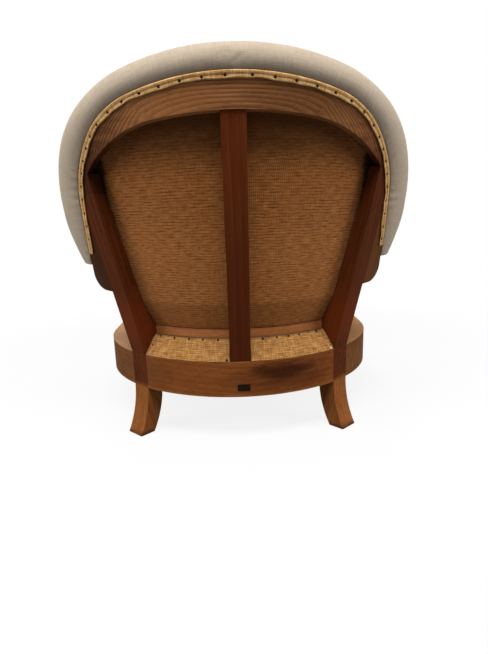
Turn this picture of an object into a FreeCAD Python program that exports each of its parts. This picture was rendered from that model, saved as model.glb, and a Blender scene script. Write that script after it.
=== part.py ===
"""Meridienne in the white: a long low seat with half-round ends and a wrapped, leaning back at its head.

The frame is a ring of rails jointed into four sabre legs. The two rear legs run on upwards as stiles,
which carry an arched crest, short wings, a centre splat and a lower back rail. Webbing, springs, hessian,
stuffing and linen
make the seat, and hessian, stuffing and a thick linen edge roll make the back.
Millimetres, +Z up, the head of the seat towards +Y, the sitter's left towards +X, the floor at Z = 0.
"""
import FreeCAD, Part
import math
import os
from types import SimpleNamespace

import Sketcher
from FreeCAD import Placement, Rotation, Vector

SIZES = {
    # Seat ring: two half-round ends joined by straight sides
    "seat_radius": 325.0,       # outer radius of the round ends, half the width of the seat
    "seat_straight": 600.0,     # length between the centres of the two round ends
    "rail_base": 107.0,         # underside of the rails above the floor
    "rail_height": 75.5,
    "rail_thick": 54.0,
    # Legs and stiles, each standing in a plane through its round end's axis
    "post_angle": 43.15,        # degrees from the centreline of the seat
    "post_width": 46.0,         # across the radial plane
    "leg_depth": 40.0,          # along the radial plane, at the rail
    "foot_depth": 36.0,         # along the radial plane, at the floor
    "foot_kick": 27.0,          # how far the sabre foot stands out past the rail
    "back_lean": 14.74,         # degrees from upright
    "stile_drop": 169.0,        # from the arch's top to the shoulder of the joint with the crest
    "stile_bend": 300.0,        # height where the inner face leaves its straight run
    "stile_bend_depth": 36.0,
    "stile_heel": 240.0,        # foot of the curve on the inner face
    "stile_heel_set": 3.0,      # how far the heel lies outside the leg's inner face
    "heel_radius": 185.0,
    # Joints
    "tenon_thick": 14.0,
    "tenon_length": 19.0,
    "tenon_shoulder": 14.0,     # shoulder above and below a rail's tenon
    "tenon_root": 6.0,          # how far a tenon is let back into its own rail
    "stile_tenon_width": 22.0,
    "stile_tenon_thick": 11.0,
    "stile_tenon_length": 24.0,
    # Arched outline of the back, seen from behind: crown, shoulders, then sides that spread a little
    "arch_top": 689.0,
    "arch_set": 22.0,           # how much narrower its half is than the seat's
    "crown_radius": 645.0,
    "shoulder_radius": 179.0,
    "side_flare": 4.0,          # degrees
    "crest_height": 50.0,       # wood over the crown of the opening
    "opening_spread": 5.0,      # how much wider the opening's curve is than the seat's half
    "opening_crown": 973.0,
    "opening_shoulder": 229.0,
    "spring_drop": 133.0,       # from the arch's top to where the opening's curve meets the stiles
    "crest_thick": 25.0,
    # Wings on the outer sides of the stiles
    "wing_base": 323.0,
    "wing_drop": 20.0,          # from the stile's shoulder to its top
    "wing_thick": 24.0,
    "wing_corner": 32.0,
    "dowel_radius": 4.0,
    "dowel_length": 40.0,
    "dowel_low": 360.0,
    "dowel_high": 420.0,
    "dowel_inset": 13.0,        # from the outer face of the back to the dowel's axis
    "dowel_slack": 0.15,
    # Centre splat and lower back rail
    "splat_width": 42.0,
    "splat_thick": 20.0,
    "splat_setback": 3.0,
    "splat_tenon_width": 26.0,
    "splat_tenon_thick": 9.0,
    "splat_tenon_length": 20.0,
    "back_rail_base": 214.0,
    "back_rail_height": 29.0,
    "back_rail_set": 34.0,      # from the seat's outline in to its rear face
    "back_rail_thick": 23.0,
    "back_rail_lap": 44.0,      # how far each end runs on past the stile's inner side
    # Small plate let on to the rear rail
    "plate_width": 26.0,
    "plate_height": 13.5,
    "plate_thick": 1.2,
    "plate_centre": -5.5,
    "plate_base": 121.0,
    # Webbing
    "strap_width": 50.0,
    "strap_thick": 2.0,
    "long_strap_pitch": 90.0,
    "cross_strap_pitch": 100.0,
    "strap_margin": 8.0,        # bare rail left outside the strap ends
    # Springs
    "spring_radius": 40.0,
    "spring_waist": 27.0,
    "spring_wire": 2.2,         # radius of the wire
    "spring_across": 90.0,      # from the centreline to a row of springs
    # Seat upholstery
    "skin": 2.0,                # thickness of hessian and linen
    "soft_gap": 0.3,            # clearance between soft pieces and what they lie on
    "pad_inset": 40.0,          # bare rail left outside the seat's cover
    "pad_setback": 46.0,        # how far the seat's head is drawn in from the back
    "pad_reach": 90.0,          # how far its full width runs on past the head's centre
    "pad_bulge": 4.0,           # swell of its upright sides
    "pad_side": 72.0,           # height of its sides
    "pad_shoulder": 75.0,       # radius of its rounded edge
    "pad_crown": 20.0,          # rise of its top between the rounded edges
    "dome_inset": 48.0,         # edge of the spring hessian on the rails
    "dome_rise": 55.0,
    "dome_slope": 41.0,         # how far the hessian draws in towards its top
    # Back upholstery
    "hessian_drop": 37.0,       # from the arch's top to the hessian's edge
    "hessian_half_angle": 47.0,
    "back_pad_drop": 7.0,       # from the arch's top to the inside back's
    "back_pad_foot": 44.0,      # thickness of the inside back at its base
    "back_pad_thick": 70.0,     # thickness where the wings begin
    "back_pad_head": 40.0,      # thickness at its top
    "back_pad_swell": 16.0,     # crown of its face, seen from the side
    "back_pad_low_angle": 43.0,
    "back_pad_high_angle": 54.0,
    "back_pad_gap": 0.8,
    "back_pad_margin": 5.0,     # from the back's outline
    "roll_rise": 46.0,          # how far the edge roll stands above the crest
    "roll_back": 14.0,          # how far it swells behind the crest
    "roll_front": 78.0,         # how far it reaches in front of the crest's rear face
    "roll_wrap": 0.5,           # share of the back's curve that the roll follows
    "roll_end": 388.0,          # height of the roll's lower ends
    "roll_gap": 0.4,
    # Tack strip round the crest, and the jute behind the seat
    "strip_width": 12.5,
    "strip_thick": 2.0,
    "strip_gap": 0.8,
    "strip_end": 376.0,
    "gusset_top": 226.0,
    "gusset_thick": 1.5,
}

DOC = FreeCAD.newDocument("meridienne")
SHEET = DOC.addObject("Spreadsheet::Sheet", "sizes")
UP = Vector(0, 0, 1)
LONG_STRAPS = (-1.5, -0.5, 0.5, 1.5)
CROSS_STRAPS = (-4, -3, -2, -1, 0, 1, 2, 3, 4)
SPRING_ROWS = (-1, 1)
SPRING_PLACES = (-3, 0, 3)   # cross straps that carry springs, counted from the middle one
WIRE_SIDES = 3
SPRING_TURNS = 2
SPRING_STATIONS = 9         # sections in each turn
LEAST_SPRING_GAP = 0.4
OUTER_CHORDS = 2            # flats round the edge of the seat's cover
INNER_CHORDS = 1            # flats round the edge of the stuffing under it
CROWN_CHORDS = 3            # flats up the face of the inside back
SHOULDER_STEPS = 5          # bands of the edge roll round each shoulder
CROWN_STEPS = 3             # bands of the edge roll over each half of the crown
ROLL_CHORDS = 4             # flats on each half of the roll's section
ROLL_SIDE = 0.97            # share of the back's radius that the roll's side may reach


class Size:
    """A length or an angle, as a number and as the expression over the sheet that gives it."""

    def __init__(self, value, text):
        self.value = value
        self.text = text

    def __add__(self, other):
        other = as_size(other)
        return Size(self.value + other.value, f"({self.text} + {other.text})")

    def __sub__(self, other):
        other = as_size(other)
        return Size(self.value - other.value, f"({self.text} - {other.text})")

    def __mul__(self, other):
        other = as_size(other)
        return Size(self.value * other.value, f"({self.text} * {other.text})")

    def __truediv__(self, other):
        other = as_size(other)
        return Size(self.value / other.value, f"({self.text} / {other.text})")

    def __neg__(self):
        return Size(-self.value, f"(0 - {self.text})")


def as_size(item):
    """Lets plain numbers stand beside sizes in a formula."""
    if isinstance(item, Size):
        return item
    return Size(float(item), repr(float(item)))


def sine(angle):
    return Size(math.sin(math.radians(angle.value)), f"sin({angle.text})")


def cosine(angle):
    return Size(math.cos(math.radians(angle.value)), f"cos({angle.text})")


def tangent(angle):
    return Size(math.tan(math.radians(angle.value)), f"tan({angle.text})")


def root(size):
    return Size(math.sqrt(size.value), f"sqrt({size.text})")


def fill_sheet():
    """Writes every driving size to the sheet under its alias, and reads them back as sizes."""
    for row, (alias, value) in enumerate(SIZES.items(), start=1):
        SHEET.set(f"A{row}", alias)
        SHEET.set(f"B{row}", str(value))
        SHEET.setAlias(f"B{row}", alias)
    DOC.recompute()
    return SimpleNamespace(**{alias: Size(float(SHEET.get(alias)), f"sizes.{alias}") for alias in SIZES})


S = fill_sheet()
ZERO = as_size(0)
RIGHT_ANGLE = as_size(90)
HALF_TURN = as_size(180)
RAIL_TOP = S.rail_base + S.rail_height
RAIL_INNER = S.seat_radius - S.rail_thick
HALF_POST = S.post_width / 2
LEG_INNER = S.seat_radius - S.leg_depth
ARCH_HALF = S.seat_radius - S.arch_set
OPENING_HALF = S.seat_radius + S.opening_spread
OPENING_TOP = S.arch_top - S.crest_height
OPENING_SPRING = S.arch_top - S.spring_drop
STILE_TOP = S.arch_top - S.stile_drop
WING_TOP = STILE_TOP - S.wing_drop
BACK_RAIL_OUTER = S.seat_radius - S.back_rail_set
HESSIAN_TOP = S.arch_top - S.hessian_drop
BACK_PAD_TOP = S.arch_top - S.back_pad_drop
LEAN = tangent(S.back_lean)
# The origin lies on the floor below the middle of the whole piece, from the seat's foot to the back's roll
BACK_REACH = S.seat_radius + (S.arch_top - RAIL_TOP) * LEAN + S.roll_back
HEAD_Y = (S.seat_straight + S.seat_radius - BACK_REACH) / 2
FOOT_Y = HEAD_Y - S.seat_straight
FAR = S.seat_radius * 2


def back_radius(height):
    """Radius of the leaning back's outer face at a height above the rails."""
    return S.seat_radius + (height - RAIL_TOP) * LEAN


def in_post(radial, across):
    """Plan point of the left rear post: outwards along its radial plane, and away from the centreline."""
    return (radial * sine(S.post_angle) + across * cosine(S.post_angle),
            radial * cosine(S.post_angle) - across * sine(S.post_angle))


def chord_radius(radius):
    """Radial distance at which a circle crosses the sides of a post."""
    return root(radius * radius - HALF_POST * HALF_POST)


# Building blocks

def place(obj, y=HEAD_Y, z=ZERO, x=ZERO, angle=None):
    """Stands an object in the part's frame, turned about the vertical."""
    turn = angle.value if angle else 0.0
    obj.Placement = Placement(Vector(x.value, y.value, z.value), Rotation(UP, turn))
    for axis, size in (("x", x), ("y", y), ("z", z)):
        obj.setExpression(f"Placement.Base.{axis}", size.text)
    if angle:
        obj.setExpression("Placement.Rotation.Angle", angle.text)
    return obj


def arc_between(start, end, radius, turns_left):
    """Arc of a sketch from start to end, and which of its ends is which."""
    chord = end - start
    half = chord.Length / 2
    reach = math.sqrt(max(radius * radius - half * half, 0.0))
    normal = Vector(-chord.y, chord.x, 0).normalize()
    centre = (start + end) / 2 + normal * (reach if turns_left else -reach)
    first, last = (start, end) if turns_left else (end, start)
    low = math.atan2(first.y - centre.y, first.x - centre.x)
    high = math.atan2(last.y - centre.y, last.x - centre.x)
    if high < low:
        high += 2 * math.pi
    arc = Part.ArcOfCircle(Part.Circle(centre, UP, radius), low, high)
    return arc, ((1, 2) if turns_left else (2, 1))


def outline(body, role, corners, lift=None):
    """Closed sketch on one of the body's own planes.

    A corner is (x, y), or (x, y, radius, "left" or "right") where an arc leaves it, turning that way.
    Every corner is held by its two distances from the origin, and every arc by its radius.
    """
    sketch = body.newObject("Sketcher::SketchObject", f"{body.Name}_outline")
    plane = [feature for feature in body.Origin.OriginFeatures if feature.Role == role][0]
    sketch.AttachmentSupport = (plane, [""])
    sketch.MapMode = "FlatFace"
    if lift:
        sketch.AttachmentOffset = Placement(Vector(0, 0, lift.value), Rotation())
        sketch.setExpression("AttachmentOffset.Base.z", lift.text)
    count = len(corners)
    points = [Vector(corner[0].value, corner[1].value, 0) for corner in corners]
    ends = []
    for index, corner in enumerate(corners):
        start, end = points[index], points[(index + 1) % count]
        if len(corner) > 2:
            geometry, order = arc_between(start, end, corner[2].value, corner[3] == "left")
        else:
            geometry, order = Part.LineSegment(start, end), (1, 2)
        sketch.addGeometry(geometry, False)
        ends.append(order)
    for index in range(count):
        after = (index + 1) % count
        sketch.addConstraint(Sketcher.Constraint("Coincident", index, ends[index][1], after, ends[after][0]))
    for index, corner in enumerate(corners):
        for kind, size in (("DistanceX", corner[0]), ("DistanceY", corner[1])):
            hold = sketch.addConstraint(Sketcher.Constraint(kind, -1, 1, index, ends[index][0], size.value))
            sketch.renameConstraint(hold, f"{kind}_{index}")
            sketch.setExpression(f"Constraints.{kind}_{index}", size.text)
        if len(corner) > 2:
            hold = sketch.addConstraint(Sketcher.Constraint("Radius", index, corner[2].value))
            sketch.renameConstraint(hold, f"Radius_{index}")
            sketch.setExpression(f"Constraints.Radius_{index}", corner[2].text)
    return sketch


def pad(body, sketch, length, symmetric=False, reverse=False):
    """Pads a sketch, to one side of its plane or to both alike."""
    feature = body.newObject("PartDesign::Pad", f"{body.Name}_pad")
    feature.Profile = sketch
    feature.Length = length.value
    feature.setExpression("Length", length.text)
    feature.SideType = "Symmetric" if symmetric else "One side"
    feature.Reversed = reverse
    return feature


def new_body(name):
    return DOC.addObject("PartDesign::Body", name)


def upright_prism(name, corners, base, height, **where):
    """Plan outline raised from a base height."""
    body = new_body(name)
    pad(body, outline(body, "XY_Plane", corners, base), height)
    return place(body, **where)


def rear_prism(name, corners):
    """Outline seen from behind, carried through the whole rear half of the back."""
    body = new_body(name)
    pad(body, outline(body, "XZ_Plane", corners), FAR, reverse=True)
    return place(body)


def rectangle(low, high):
    return [(low[0], low[1]), (high[0], low[1]), (high[0], high[1]), (low[0], high[1])]


def boolean(kind, name, base, tool):
    obj = DOC.addObject(f"Part::{kind}", name)
    obj.Base = base
    obj.Tool = tool
    return obj


def cut(name, base, *tools):
    """Takes each tool away from the base in turn."""
    for number, tool in enumerate(tools):
        base = boolean("Cut", f"{name}_cut_{number}", base, tool)
    return base


def common(name, base, *tools):
    """Keeps what the base shares with every tool."""
    for number, tool in enumerate(tools):
        base = boolean("Common", f"{name}_common_{number}", base, tool)
    return base


def mirrored(name, source):
    """Right-hand twin of a left-hand piece."""
    obj = DOC.addObject("Part::Mirroring", name)
    obj.Source = source
    obj.Normal = (1, 0, 0)
    obj.Base = (0, 0, 0)
    return obj


def cone(name, base, top, low_radius, high_radius):
    obj = DOC.addObject("Part::Cone", name)
    for prop, size in (("Radius1", low_radius), ("Radius2", high_radius), ("Height", top - base)):
        setattr(obj, prop, size.value)
        obj.setExpression(prop, size.text)
    return place(obj, z=base)


def cone_shell(name, base, top, low_radius, high_radius, thick):
    """Leaning round wall between two heights, measured inwards from its outer face."""
    outer = cone(f"{name}_outer", base, top, low_radius, high_radius)
    inner = cone(f"{name}_inner", base, top, low_radius - thick, high_radius - thick)
    return boolean("Cut", f"{name}_shell", outer, inner)


def back_shell(name, base, top, proud, thick):
    """Wall that follows the outer face of the back, proud of it or within it."""
    return cone_shell(name, base, top, back_radius(base) + proud, back_radius(top) + proud, thick)


def soft_feature(name, shape):
    obj = DOC.addObject("Part::Feature", name)
    obj.Shape = shape
    return obj


# Outlines of the back, seen from behind

def arch_lines(inset):
    """Corners of the back's arch, drawn in by an inset, down to the floor."""
    shoulder = S.shoulder_radius - inset
    crown = S.crown_radius - inset
    centre_x = ARCH_HALF - S.shoulder_radius
    crown_z = S.arch_top - S.crown_radius
    gap = S.crown_radius - S.shoulder_radius
    rise = root(gap * gap - centre_x * centre_x)
    meet_x = crown * centre_x / gap
    meet_z = crown_z + crown * rise / gap
    side_x = centre_x + shoulder * cosine(S.side_flare)
    side_z = crown_z + rise + shoulder * sine(S.side_flare)
    foot_x = side_x + side_z * tangent(S.side_flare)
    return [(foot_x, ZERO), (side_x, side_z, shoulder, "left"), (meet_x, meet_z, crown, "left"),
            (-meet_x, meet_z, shoulder, "left"), (-side_x, side_z), (-foot_x, ZERO)]


def opening_lines():
    """Corners of the opening under the crest, down to where it meets the stiles."""
    centre_x = OPENING_HALF - S.opening_shoulder
    crown_z = OPENING_TOP - S.opening_crown
    gap = S.opening_crown - S.opening_shoulder
    rise = root(gap * gap - centre_x * centre_x)
    drop = OPENING_SPRING - crown_z - rise
    spring_x = centre_x + root(S.opening_shoulder * S.opening_shoulder - drop * drop)
    meet_x = S.opening_crown * centre_x / gap
    meet_z = crown_z + S.opening_crown * rise / gap
    return [(spring_x, OPENING_SPRING, S.opening_shoulder, "left"),
            (meet_x, meet_z, S.opening_crown, "left"),
            (-meet_x, meet_z, S.opening_shoulder, "left"), (-spring_x, OPENING_SPRING)]


def between_posts(name, base, height):
    """Wedge of space between the inner sides of the two rear posts."""
    apex = (ZERO, HALF_POST / sine(S.post_angle))
    left = in_post(FAR, -HALF_POST)
    return upright_prism(name, [apex, left, (-left[0], left[1])], base, height)


# Legs and stiles

def foot_curve(reach):
    """Radius of the sabre curve that leaves the rail upright and stands out by a reach at the floor."""
    return (reach * reach + S.rail_base * S.rail_base) / (reach * 2)


def leg_lines(inner_top):
    """Corners of the sabre leg up its outer face, then down its inner face from inner_top."""
    foot_outer = S.seat_radius + S.foot_kick
    inner_reach = S.foot_kick + S.leg_depth - S.foot_depth
    outer = [(foot_outer - S.foot_depth, ZERO), (foot_outer, ZERO, foot_curve(S.foot_kick), "right"),
             (S.seat_radius, S.rail_base), (S.seat_radius, RAIL_TOP)]
    return outer + inner_top + [(LEG_INNER, S.rail_base, foot_curve(inner_reach), "left")]


def rear_post():
    """Left rear leg and stile in one piece, with the tenon that enters the crest."""
    body = new_body("rear_post")
    top_outer = back_radius(STILE_TOP)
    bend_inner = back_radius(S.stile_bend) - S.stile_bend_depth
    stile = [(top_outer, STILE_TOP), (top_outer - S.crest_thick, STILE_TOP),
             (bend_inner, S.stile_bend, S.heel_radius, "right"),
             (LEG_INNER + S.stile_heel_set, S.stile_heel), (LEG_INNER, RAIL_TOP)]
    pad(body, outline(body, "XZ_Plane", leg_lines(stile)), S.post_width, symmetric=True)
    middle = top_outer - S.crest_thick / 2
    half = S.stile_tenon_thick / 2
    tenon = rectangle((middle - half, STILE_TOP - S.tenon_root),
                      (middle + half, STILE_TOP + S.stile_tenon_length))
    pad(body, outline(body, "XZ_Plane", tenon), S.stile_tenon_width, symmetric=True)
    return place(body, angle=RIGHT_ANGLE - S.post_angle)


def front_post():
    """Left front leg, which ends level with the top of the rails."""
    body = new_body("front_post")
    pad(body, outline(body, "XZ_Plane", leg_lines([(LEG_INNER, RAIL_TOP)])), S.post_width, symmetric=True)
    return place(body, y=FOOT_Y, angle=S.post_angle - RIGHT_ANGLE)


# Rails

def tenon_plan(face, outwards):
    """Plan corners of a tenon at the left rear post, on the side of the post given by face."""
    middle = S.seat_radius - S.leg_depth / 2
    near = face - outwards * S.tenon_length
    far = face + outwards * S.tenon_root
    low, high = middle - S.tenon_thick / 2, middle + S.tenon_thick / 2
    corners = [in_post(low, near), in_post(high, near), in_post(high, far), in_post(low, far)]
    return corners


def add_tenons(body, plans):
    base = S.rail_base + S.tenon_shoulder
    height = S.rail_height - S.tenon_shoulder * 2
    for plan in plans:
        pad(body, outline(body, "XY_Plane", plan, base), height)


def end_rail(name, **where):
    """Curved rail across a round end, tenoned into the legs at both ends."""
    body = new_body(name)
    outer = in_post(chord_radius(S.seat_radius), -HALF_POST)
    inner = in_post(chord_radius(RAIL_INNER), -HALF_POST)
    corners = [(*outer, S.seat_radius, "left"), (-outer[0], outer[1]),
               (-inner[0], inner[1], RAIL_INNER, "right"), inner]
    pad(body, outline(body, "XY_Plane", corners, S.rail_base), S.rail_height)
    left = tenon_plan(-HALF_POST, as_size(-1))
    add_tenons(body, [left, [(-x, y) for x, y in left]])
    return place(body, **where)


def side_rail():
    """Left side rail: straight, and curved round to a leg at each end."""
    body = new_body("side_rail")
    outer = in_post(chord_radius(S.seat_radius), HALF_POST)
    inner = in_post(chord_radius(RAIL_INNER), HALF_POST)

    def at_foot(point):
        return (point[0], -S.seat_straight - point[1])

    corners = [(*outer, S.seat_radius, "right"), (S.seat_radius, ZERO),
               (S.seat_radius, -S.seat_straight, S.seat_radius, "right"), at_foot(outer),
               (*at_foot(inner), RAIL_INNER, "left"), (RAIL_INNER, -S.seat_straight),
               (RAIL_INNER, ZERO, RAIL_INNER, "left"), inner]
    pad(body, outline(body, "XY_Plane", corners, S.rail_base), S.rail_height)
    head = tenon_plan(HALF_POST, as_size(1))
    add_tenons(body, [head, [at_foot(point) for point in head]])
    return place(body)


# Pieces of the back's frame

def splat():
    """Upright in the middle of the back, tenoned into the rear rail and the crest."""
    body = new_body("splat")
    half_width = S.splat_width / 2
    arch_drop = S.opening_crown - root(S.opening_crown * S.opening_crown - half_width * half_width)
    top = OPENING_TOP - arch_drop
    foot_rear = S.seat_radius - S.splat_setback
    head_rear = back_radius(top) - S.splat_setback
    pad(body, outline(body, "YZ_Plane", [(foot_rear - S.splat_thick, RAIL_TOP), (foot_rear, RAIL_TOP),
                                         (head_rear, top), (head_rear - S.splat_thick, top)]),
        S.splat_width, symmetric=True)
    half = S.splat_tenon_thick / 2
    for rear, low, high in ((foot_rear, RAIL_TOP - S.splat_tenon_length, RAIL_TOP + S.tenon_root),
                            (head_rear, top - S.tenon_root, top + S.splat_tenon_length)):
        middle = rear - S.splat_thick / 2
        pad(body, outline(body, "YZ_Plane", rectangle((middle - half, low), (middle + half, high))),
            S.splat_tenon_width, symmetric=True)
    return place(body)


def crest(posts, splat_body, arch):
    """Arched top rail, curved on plan, cut from the leaning round of the back."""
    shell = back_shell("crest", STILE_TOP, S.arch_top + S.crest_thick, ZERO, S.crest_thick)
    opening = rear_prism("crest_opening", opening_lines())
    cheeks = between_posts("crest_cheeks", STILE_TOP - S.crest_thick,
                           OPENING_SPRING - STILE_TOP + S.crest_thick)
    return cut("crest", common("crest", shell, arch), opening, cheeks, *posts, splat_body)


def dowel(height):
    """Dowel that pins the left wing to its stile at a height."""
    obj = DOC.addObject("Part::Cylinder", "wing_dowel")
    for prop, size in (("Radius", S.dowel_radius), ("Height", S.dowel_length)):
        setattr(obj, prop, size.value)
        obj.setExpression(prop, size.text)
    radial = back_radius(height) - S.dowel_inset
    start = in_post(radial, HALF_POST - S.dowel_length / 2)
    turn = math.radians(S.post_angle.value)
    along = Vector(math.cos(turn), -math.sin(turn), 0)
    obj.Placement = Placement(Vector(), Rotation(UP, along))
    obj.setExpression("Placement.Rotation.Axis.x", sine(S.post_angle).text)
    obj.setExpression("Placement.Rotation.Axis.y", cosine(S.post_angle).text)
    obj.setExpression("Placement.Rotation.Axis.z", "0")
    obj.setExpression("Placement.Rotation.Angle", "90")
    for axis, size in (("x", start[0]), ("y", start[1] + HEAD_Y), ("z", height)):
        obj.setExpression(f"Placement.Base.{axis}", size.text)
    return obj


def dowel_hole(pin):
    """Hole a little wider than its dowel, and in line with it."""
    hole = DOC.addObject("Part::Cylinder", "wing_dowel_hole")
    radius = S.dowel_radius + S.dowel_slack
    hole.Radius = radius.value
    hole.setExpression("Radius", radius.text)
    hole.setExpression("Height", S.dowel_length.text)
    hole.setExpression("Placement", f"{pin.Name}.Placement")
    return hole


def wing(holes):
    """Short wing that continues the back's outline down the outer side of the left stile."""
    shell = back_shell("wing", S.wing_base, WING_TOP, ZERO, S.wing_thick)
    side_x, side_z = arch_lines(ZERO)[1][:2]
    slope = tangent(S.side_flare)
    corner_x = side_x + (side_z - S.wing_base) * slope
    # Where the rounded corner leaves the base and the side
    run = S.wing_corner / tangent((RIGHT_ANGLE - S.side_flare) / 2)
    top_x = side_x + (side_z - WING_TOP) * slope
    shape = [(ZERO, S.wing_base), (corner_x - run, S.wing_base, S.wing_corner, "left"),
             (corner_x - run * sine(S.side_flare), S.wing_base + run * cosine(S.side_flare)),
             (top_x, WING_TOP), (ZERO, WING_TOP)]
    profile = rear_prism("wing_profile", shape)
    inside = in_post(FAR, HALF_POST)
    outside = in_post(-FAR, HALF_POST)
    clear = upright_prism("wing_clear", [outside, inside, (-FAR, FAR)], S.wing_base - S.wing_thick,
                          WING_TOP - S.wing_base + S.wing_thick * 2)
    return cut("wing", common("wing", shell, profile), clear, *holes)


def back_rail(posts):
    """Curved rail low in the back, housed over the inner faces of the stiles."""
    body = new_body("lower_back_rail_blank")
    inner_radius = BACK_RAIL_OUTER - S.back_rail_thick
    across = S.back_rail_lap - HALF_POST
    outer = in_post(root(BACK_RAIL_OUTER * BACK_RAIL_OUTER - across * across), across)
    inner = in_post(root(inner_radius * inner_radius - across * across), across)
    corners = [(*outer, BACK_RAIL_OUTER, "left"), (-outer[0], outer[1]),
               (-inner[0], inner[1], inner_radius, "right"), inner]
    pad(body, outline(body, "XY_Plane", corners, S.back_rail_base), S.back_rail_height)
    return cut("lower_back_rail", place(body), *posts)


def plate():
    """Small blank plate on the outside of the rear rail."""
    top = S.plate_base + S.plate_height
    outer = S.seat_radius + S.plate_thick
    ring = cone_shell("plate", S.plate_base, top, outer, outer + S.plate_thick / 1000, S.plate_thick)
    half = S.plate_width / 2
    sides = rectangle((S.plate_centre - half, ZERO), (S.plate_centre + half, RAIL_TOP))
    face = rear_prism("plate_face", sides)
    return common("plate", ring, face)


# Webbing

def stadium(radius):
    """Plan corners of the seat's outline at a radius."""
    foot = -S.seat_straight
    return [(radius, ZERO, radius, "left"), (ZERO, radius, radius, "left"), (-radius, ZERO),
            (-radius, foot, radius, "left"), (ZERO, foot - radius, radius, "left"), (radius, foot)]


def straps(name, steps, along_seat, top):
    """One layer of webbing straps, trimmed to the outline of the rails."""
    middle_y = HEAD_Y - S.seat_straight / 2
    boxes = []
    pitch = S.long_strap_pitch if along_seat else S.cross_strap_pitch
    for step in steps:
        box = DOC.addObject("Part::Box", f"{name}_strap")
        length, width = (S.strap_width, FAR * 4) if along_seat else (FAR * 4, S.strap_width)
        for prop, size in (("Length", length), ("Width", width), ("Height", S.strap_thick)):
            setattr(box, prop, size.value)
            box.setExpression(prop, size.text)
        shift = pitch * step
        x, y = (shift, ZERO) if along_seat else (ZERO, shift)
        place(box, x=x - length / 2, y=middle_y + y - width / 2, z=top - S.strap_thick)
        boxes.append(box)
    layer = DOC.addObject("Part::Compound", f"{name}_layer")
    layer.Links = boxes
    trim = upright_prism(f"{name}_trim", stadium(S.seat_radius - S.strap_margin), top - S.strap_thick,
                         S.strap_thick)
    return common(name, layer, trim)


# Springs

def spring_line(share):
    """Point on the middle of a spring's wire: an hourglass of turns, from webbing to hessian."""
    reach = S.spring_wire.value + S.soft_gap.value
    low = S.rail_base.value + reach
    high = RAIL_TOP.value + S.dome_rise.value - S.skin.value - reach
    swell = (2 * share - 1) ** 2
    radius = S.spring_waist.value + (S.spring_radius.value - S.spring_waist.value) * swell
    turn = 2 * math.pi * SPRING_TURNS * share
    return Vector(radius * math.cos(turn), radius * math.sin(turn), low + (high - low) * share)


def spring():
    """One spring as a single unbroken wire, and the least gap between its turns."""
    count = SPRING_TURNS * SPRING_STATIONS
    middles = [spring_line(step / count) for step in range(count + 1)]
    rings = []
    for step, middle in enumerate(middles):
        along = (middles[min(step + 1, count)] - middles[max(step - 1, 0)]).normalize()
        side = along.cross(UP).normalize()
        lift = side.cross(along).normalize()
        corners = []
        for corner in range(WIRE_SIDES):
            turn = 2 * math.pi * corner / WIRE_SIDES
            way = side * math.cos(turn) + lift * math.sin(turn)
            corners.append(middle + way * S.spring_wire.value)
        rings.append(Part.makePolygon(corners + corners[:1]))
    half_turn = SPRING_STATIONS // 2
    gap = min((a - b).Length for step, a in enumerate(middles) for b in middles[step + half_turn:])
    return Part.makeLoft(rings, True, True), gap - 2 * S.spring_wire.value


def springs():
    """Two rows of springs on the webbing."""
    one, gap = spring()
    print(f"least gap between the turns of a spring: {gap:.2f} mm")
    if gap < LEAST_SPRING_GAP:
        raise ValueError("the turns of a spring touch")
    copies = []
    middle_y = HEAD_Y.value - S.seat_straight.value / 2
    for row in SPRING_ROWS:
        for step in SPRING_PLACES:
            copy = one.copy()
            y = middle_y + step * S.cross_strap_pitch.value
            copy.translate(Vector(row * S.spring_across.value, y, 0))
            copies.append(copy)
    return soft_feature("spring_set", Part.makeCompound(copies))


# Seat upholstery

def mirrored_section(half_section):
    """Whole section of a seat layer from its right half."""
    right = half_section[1:-1]
    return right + [(-x, z) for x, z in reversed(right)]


def long_body(name, side_section, head_section, reach):
    """Seat layer with half-round ends, from the right halves of its sections at the sides and the head."""
    body = new_body(name)
    pad(body, outline(body, "XZ_Plane", mirrored_section(head_section)), S.seat_straight)
    pad(body, outline(body, "XZ_Plane", mirrored_section(side_section), -reach), S.seat_straight + reach)
    for section, lift, backwards in ((head_section, None, False), (side_section, S.seat_straight, True)):
        sketch = outline(body, "XZ_Plane", section, lift)
        turn = body.newObject("PartDesign::Revolution", f"{name}_end")
        turn.Profile = sketch
        turn.ReferenceAxis = (sketch, ["V_Axis"])
        turn.Angle = 180
        turn.Reversed = backwards
    return place(body)


def dome(name, grow):
    """Solid under the spring hessian, grown by an amount."""
    edge = S.seat_radius - S.dome_inset + grow
    base = RAIL_TOP + S.soft_gap
    top = RAIL_TOP + S.dome_rise + grow
    section = [(ZERO, base), (edge, base), (edge - S.dome_slope, top), (ZERO, top)]
    return long_body(name, section, section, ZERO)


def seat_section(edge, inset, floor, chords, bulge):
    """Right half of a seat layer: an upright swollen side, an edge rounded in chords and a low crown."""
    base = RAIL_TOP + floor
    shoulder_z = RAIL_TOP + S.pad_side
    radius = S.pad_shoulder - inset
    inner = edge - radius
    top = shoulder_z + radius
    half = [(ZERO, base), (edge, base)]
    if bulge:
        half.append((edge + S.pad_bulge, (base + shoulder_z) / 2))
    for step in range(chords + 1):
        turn = RIGHT_ANGLE * step / chords
        half.append((inner + radius * cosine(turn), shoulder_z + radius * sine(turn)))
    if bulge:
        half.append((inner / 2, top + S.pad_crown * 3 / 4))
    return half + [(ZERO, top + S.pad_crown)]


def seat_form(name, inset, floor, chords, bulge=False):
    """Crowned seat, drawn in by an inset, with its head drawn in further to lie inside the back."""
    edge = S.seat_radius - S.pad_inset - inset
    side = seat_section(edge, inset, floor, chords, bulge)
    head = seat_section(edge - S.pad_setback, inset, floor, chords, bulge)
    return long_body(name, side, head, S.pad_reach - inset)


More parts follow.
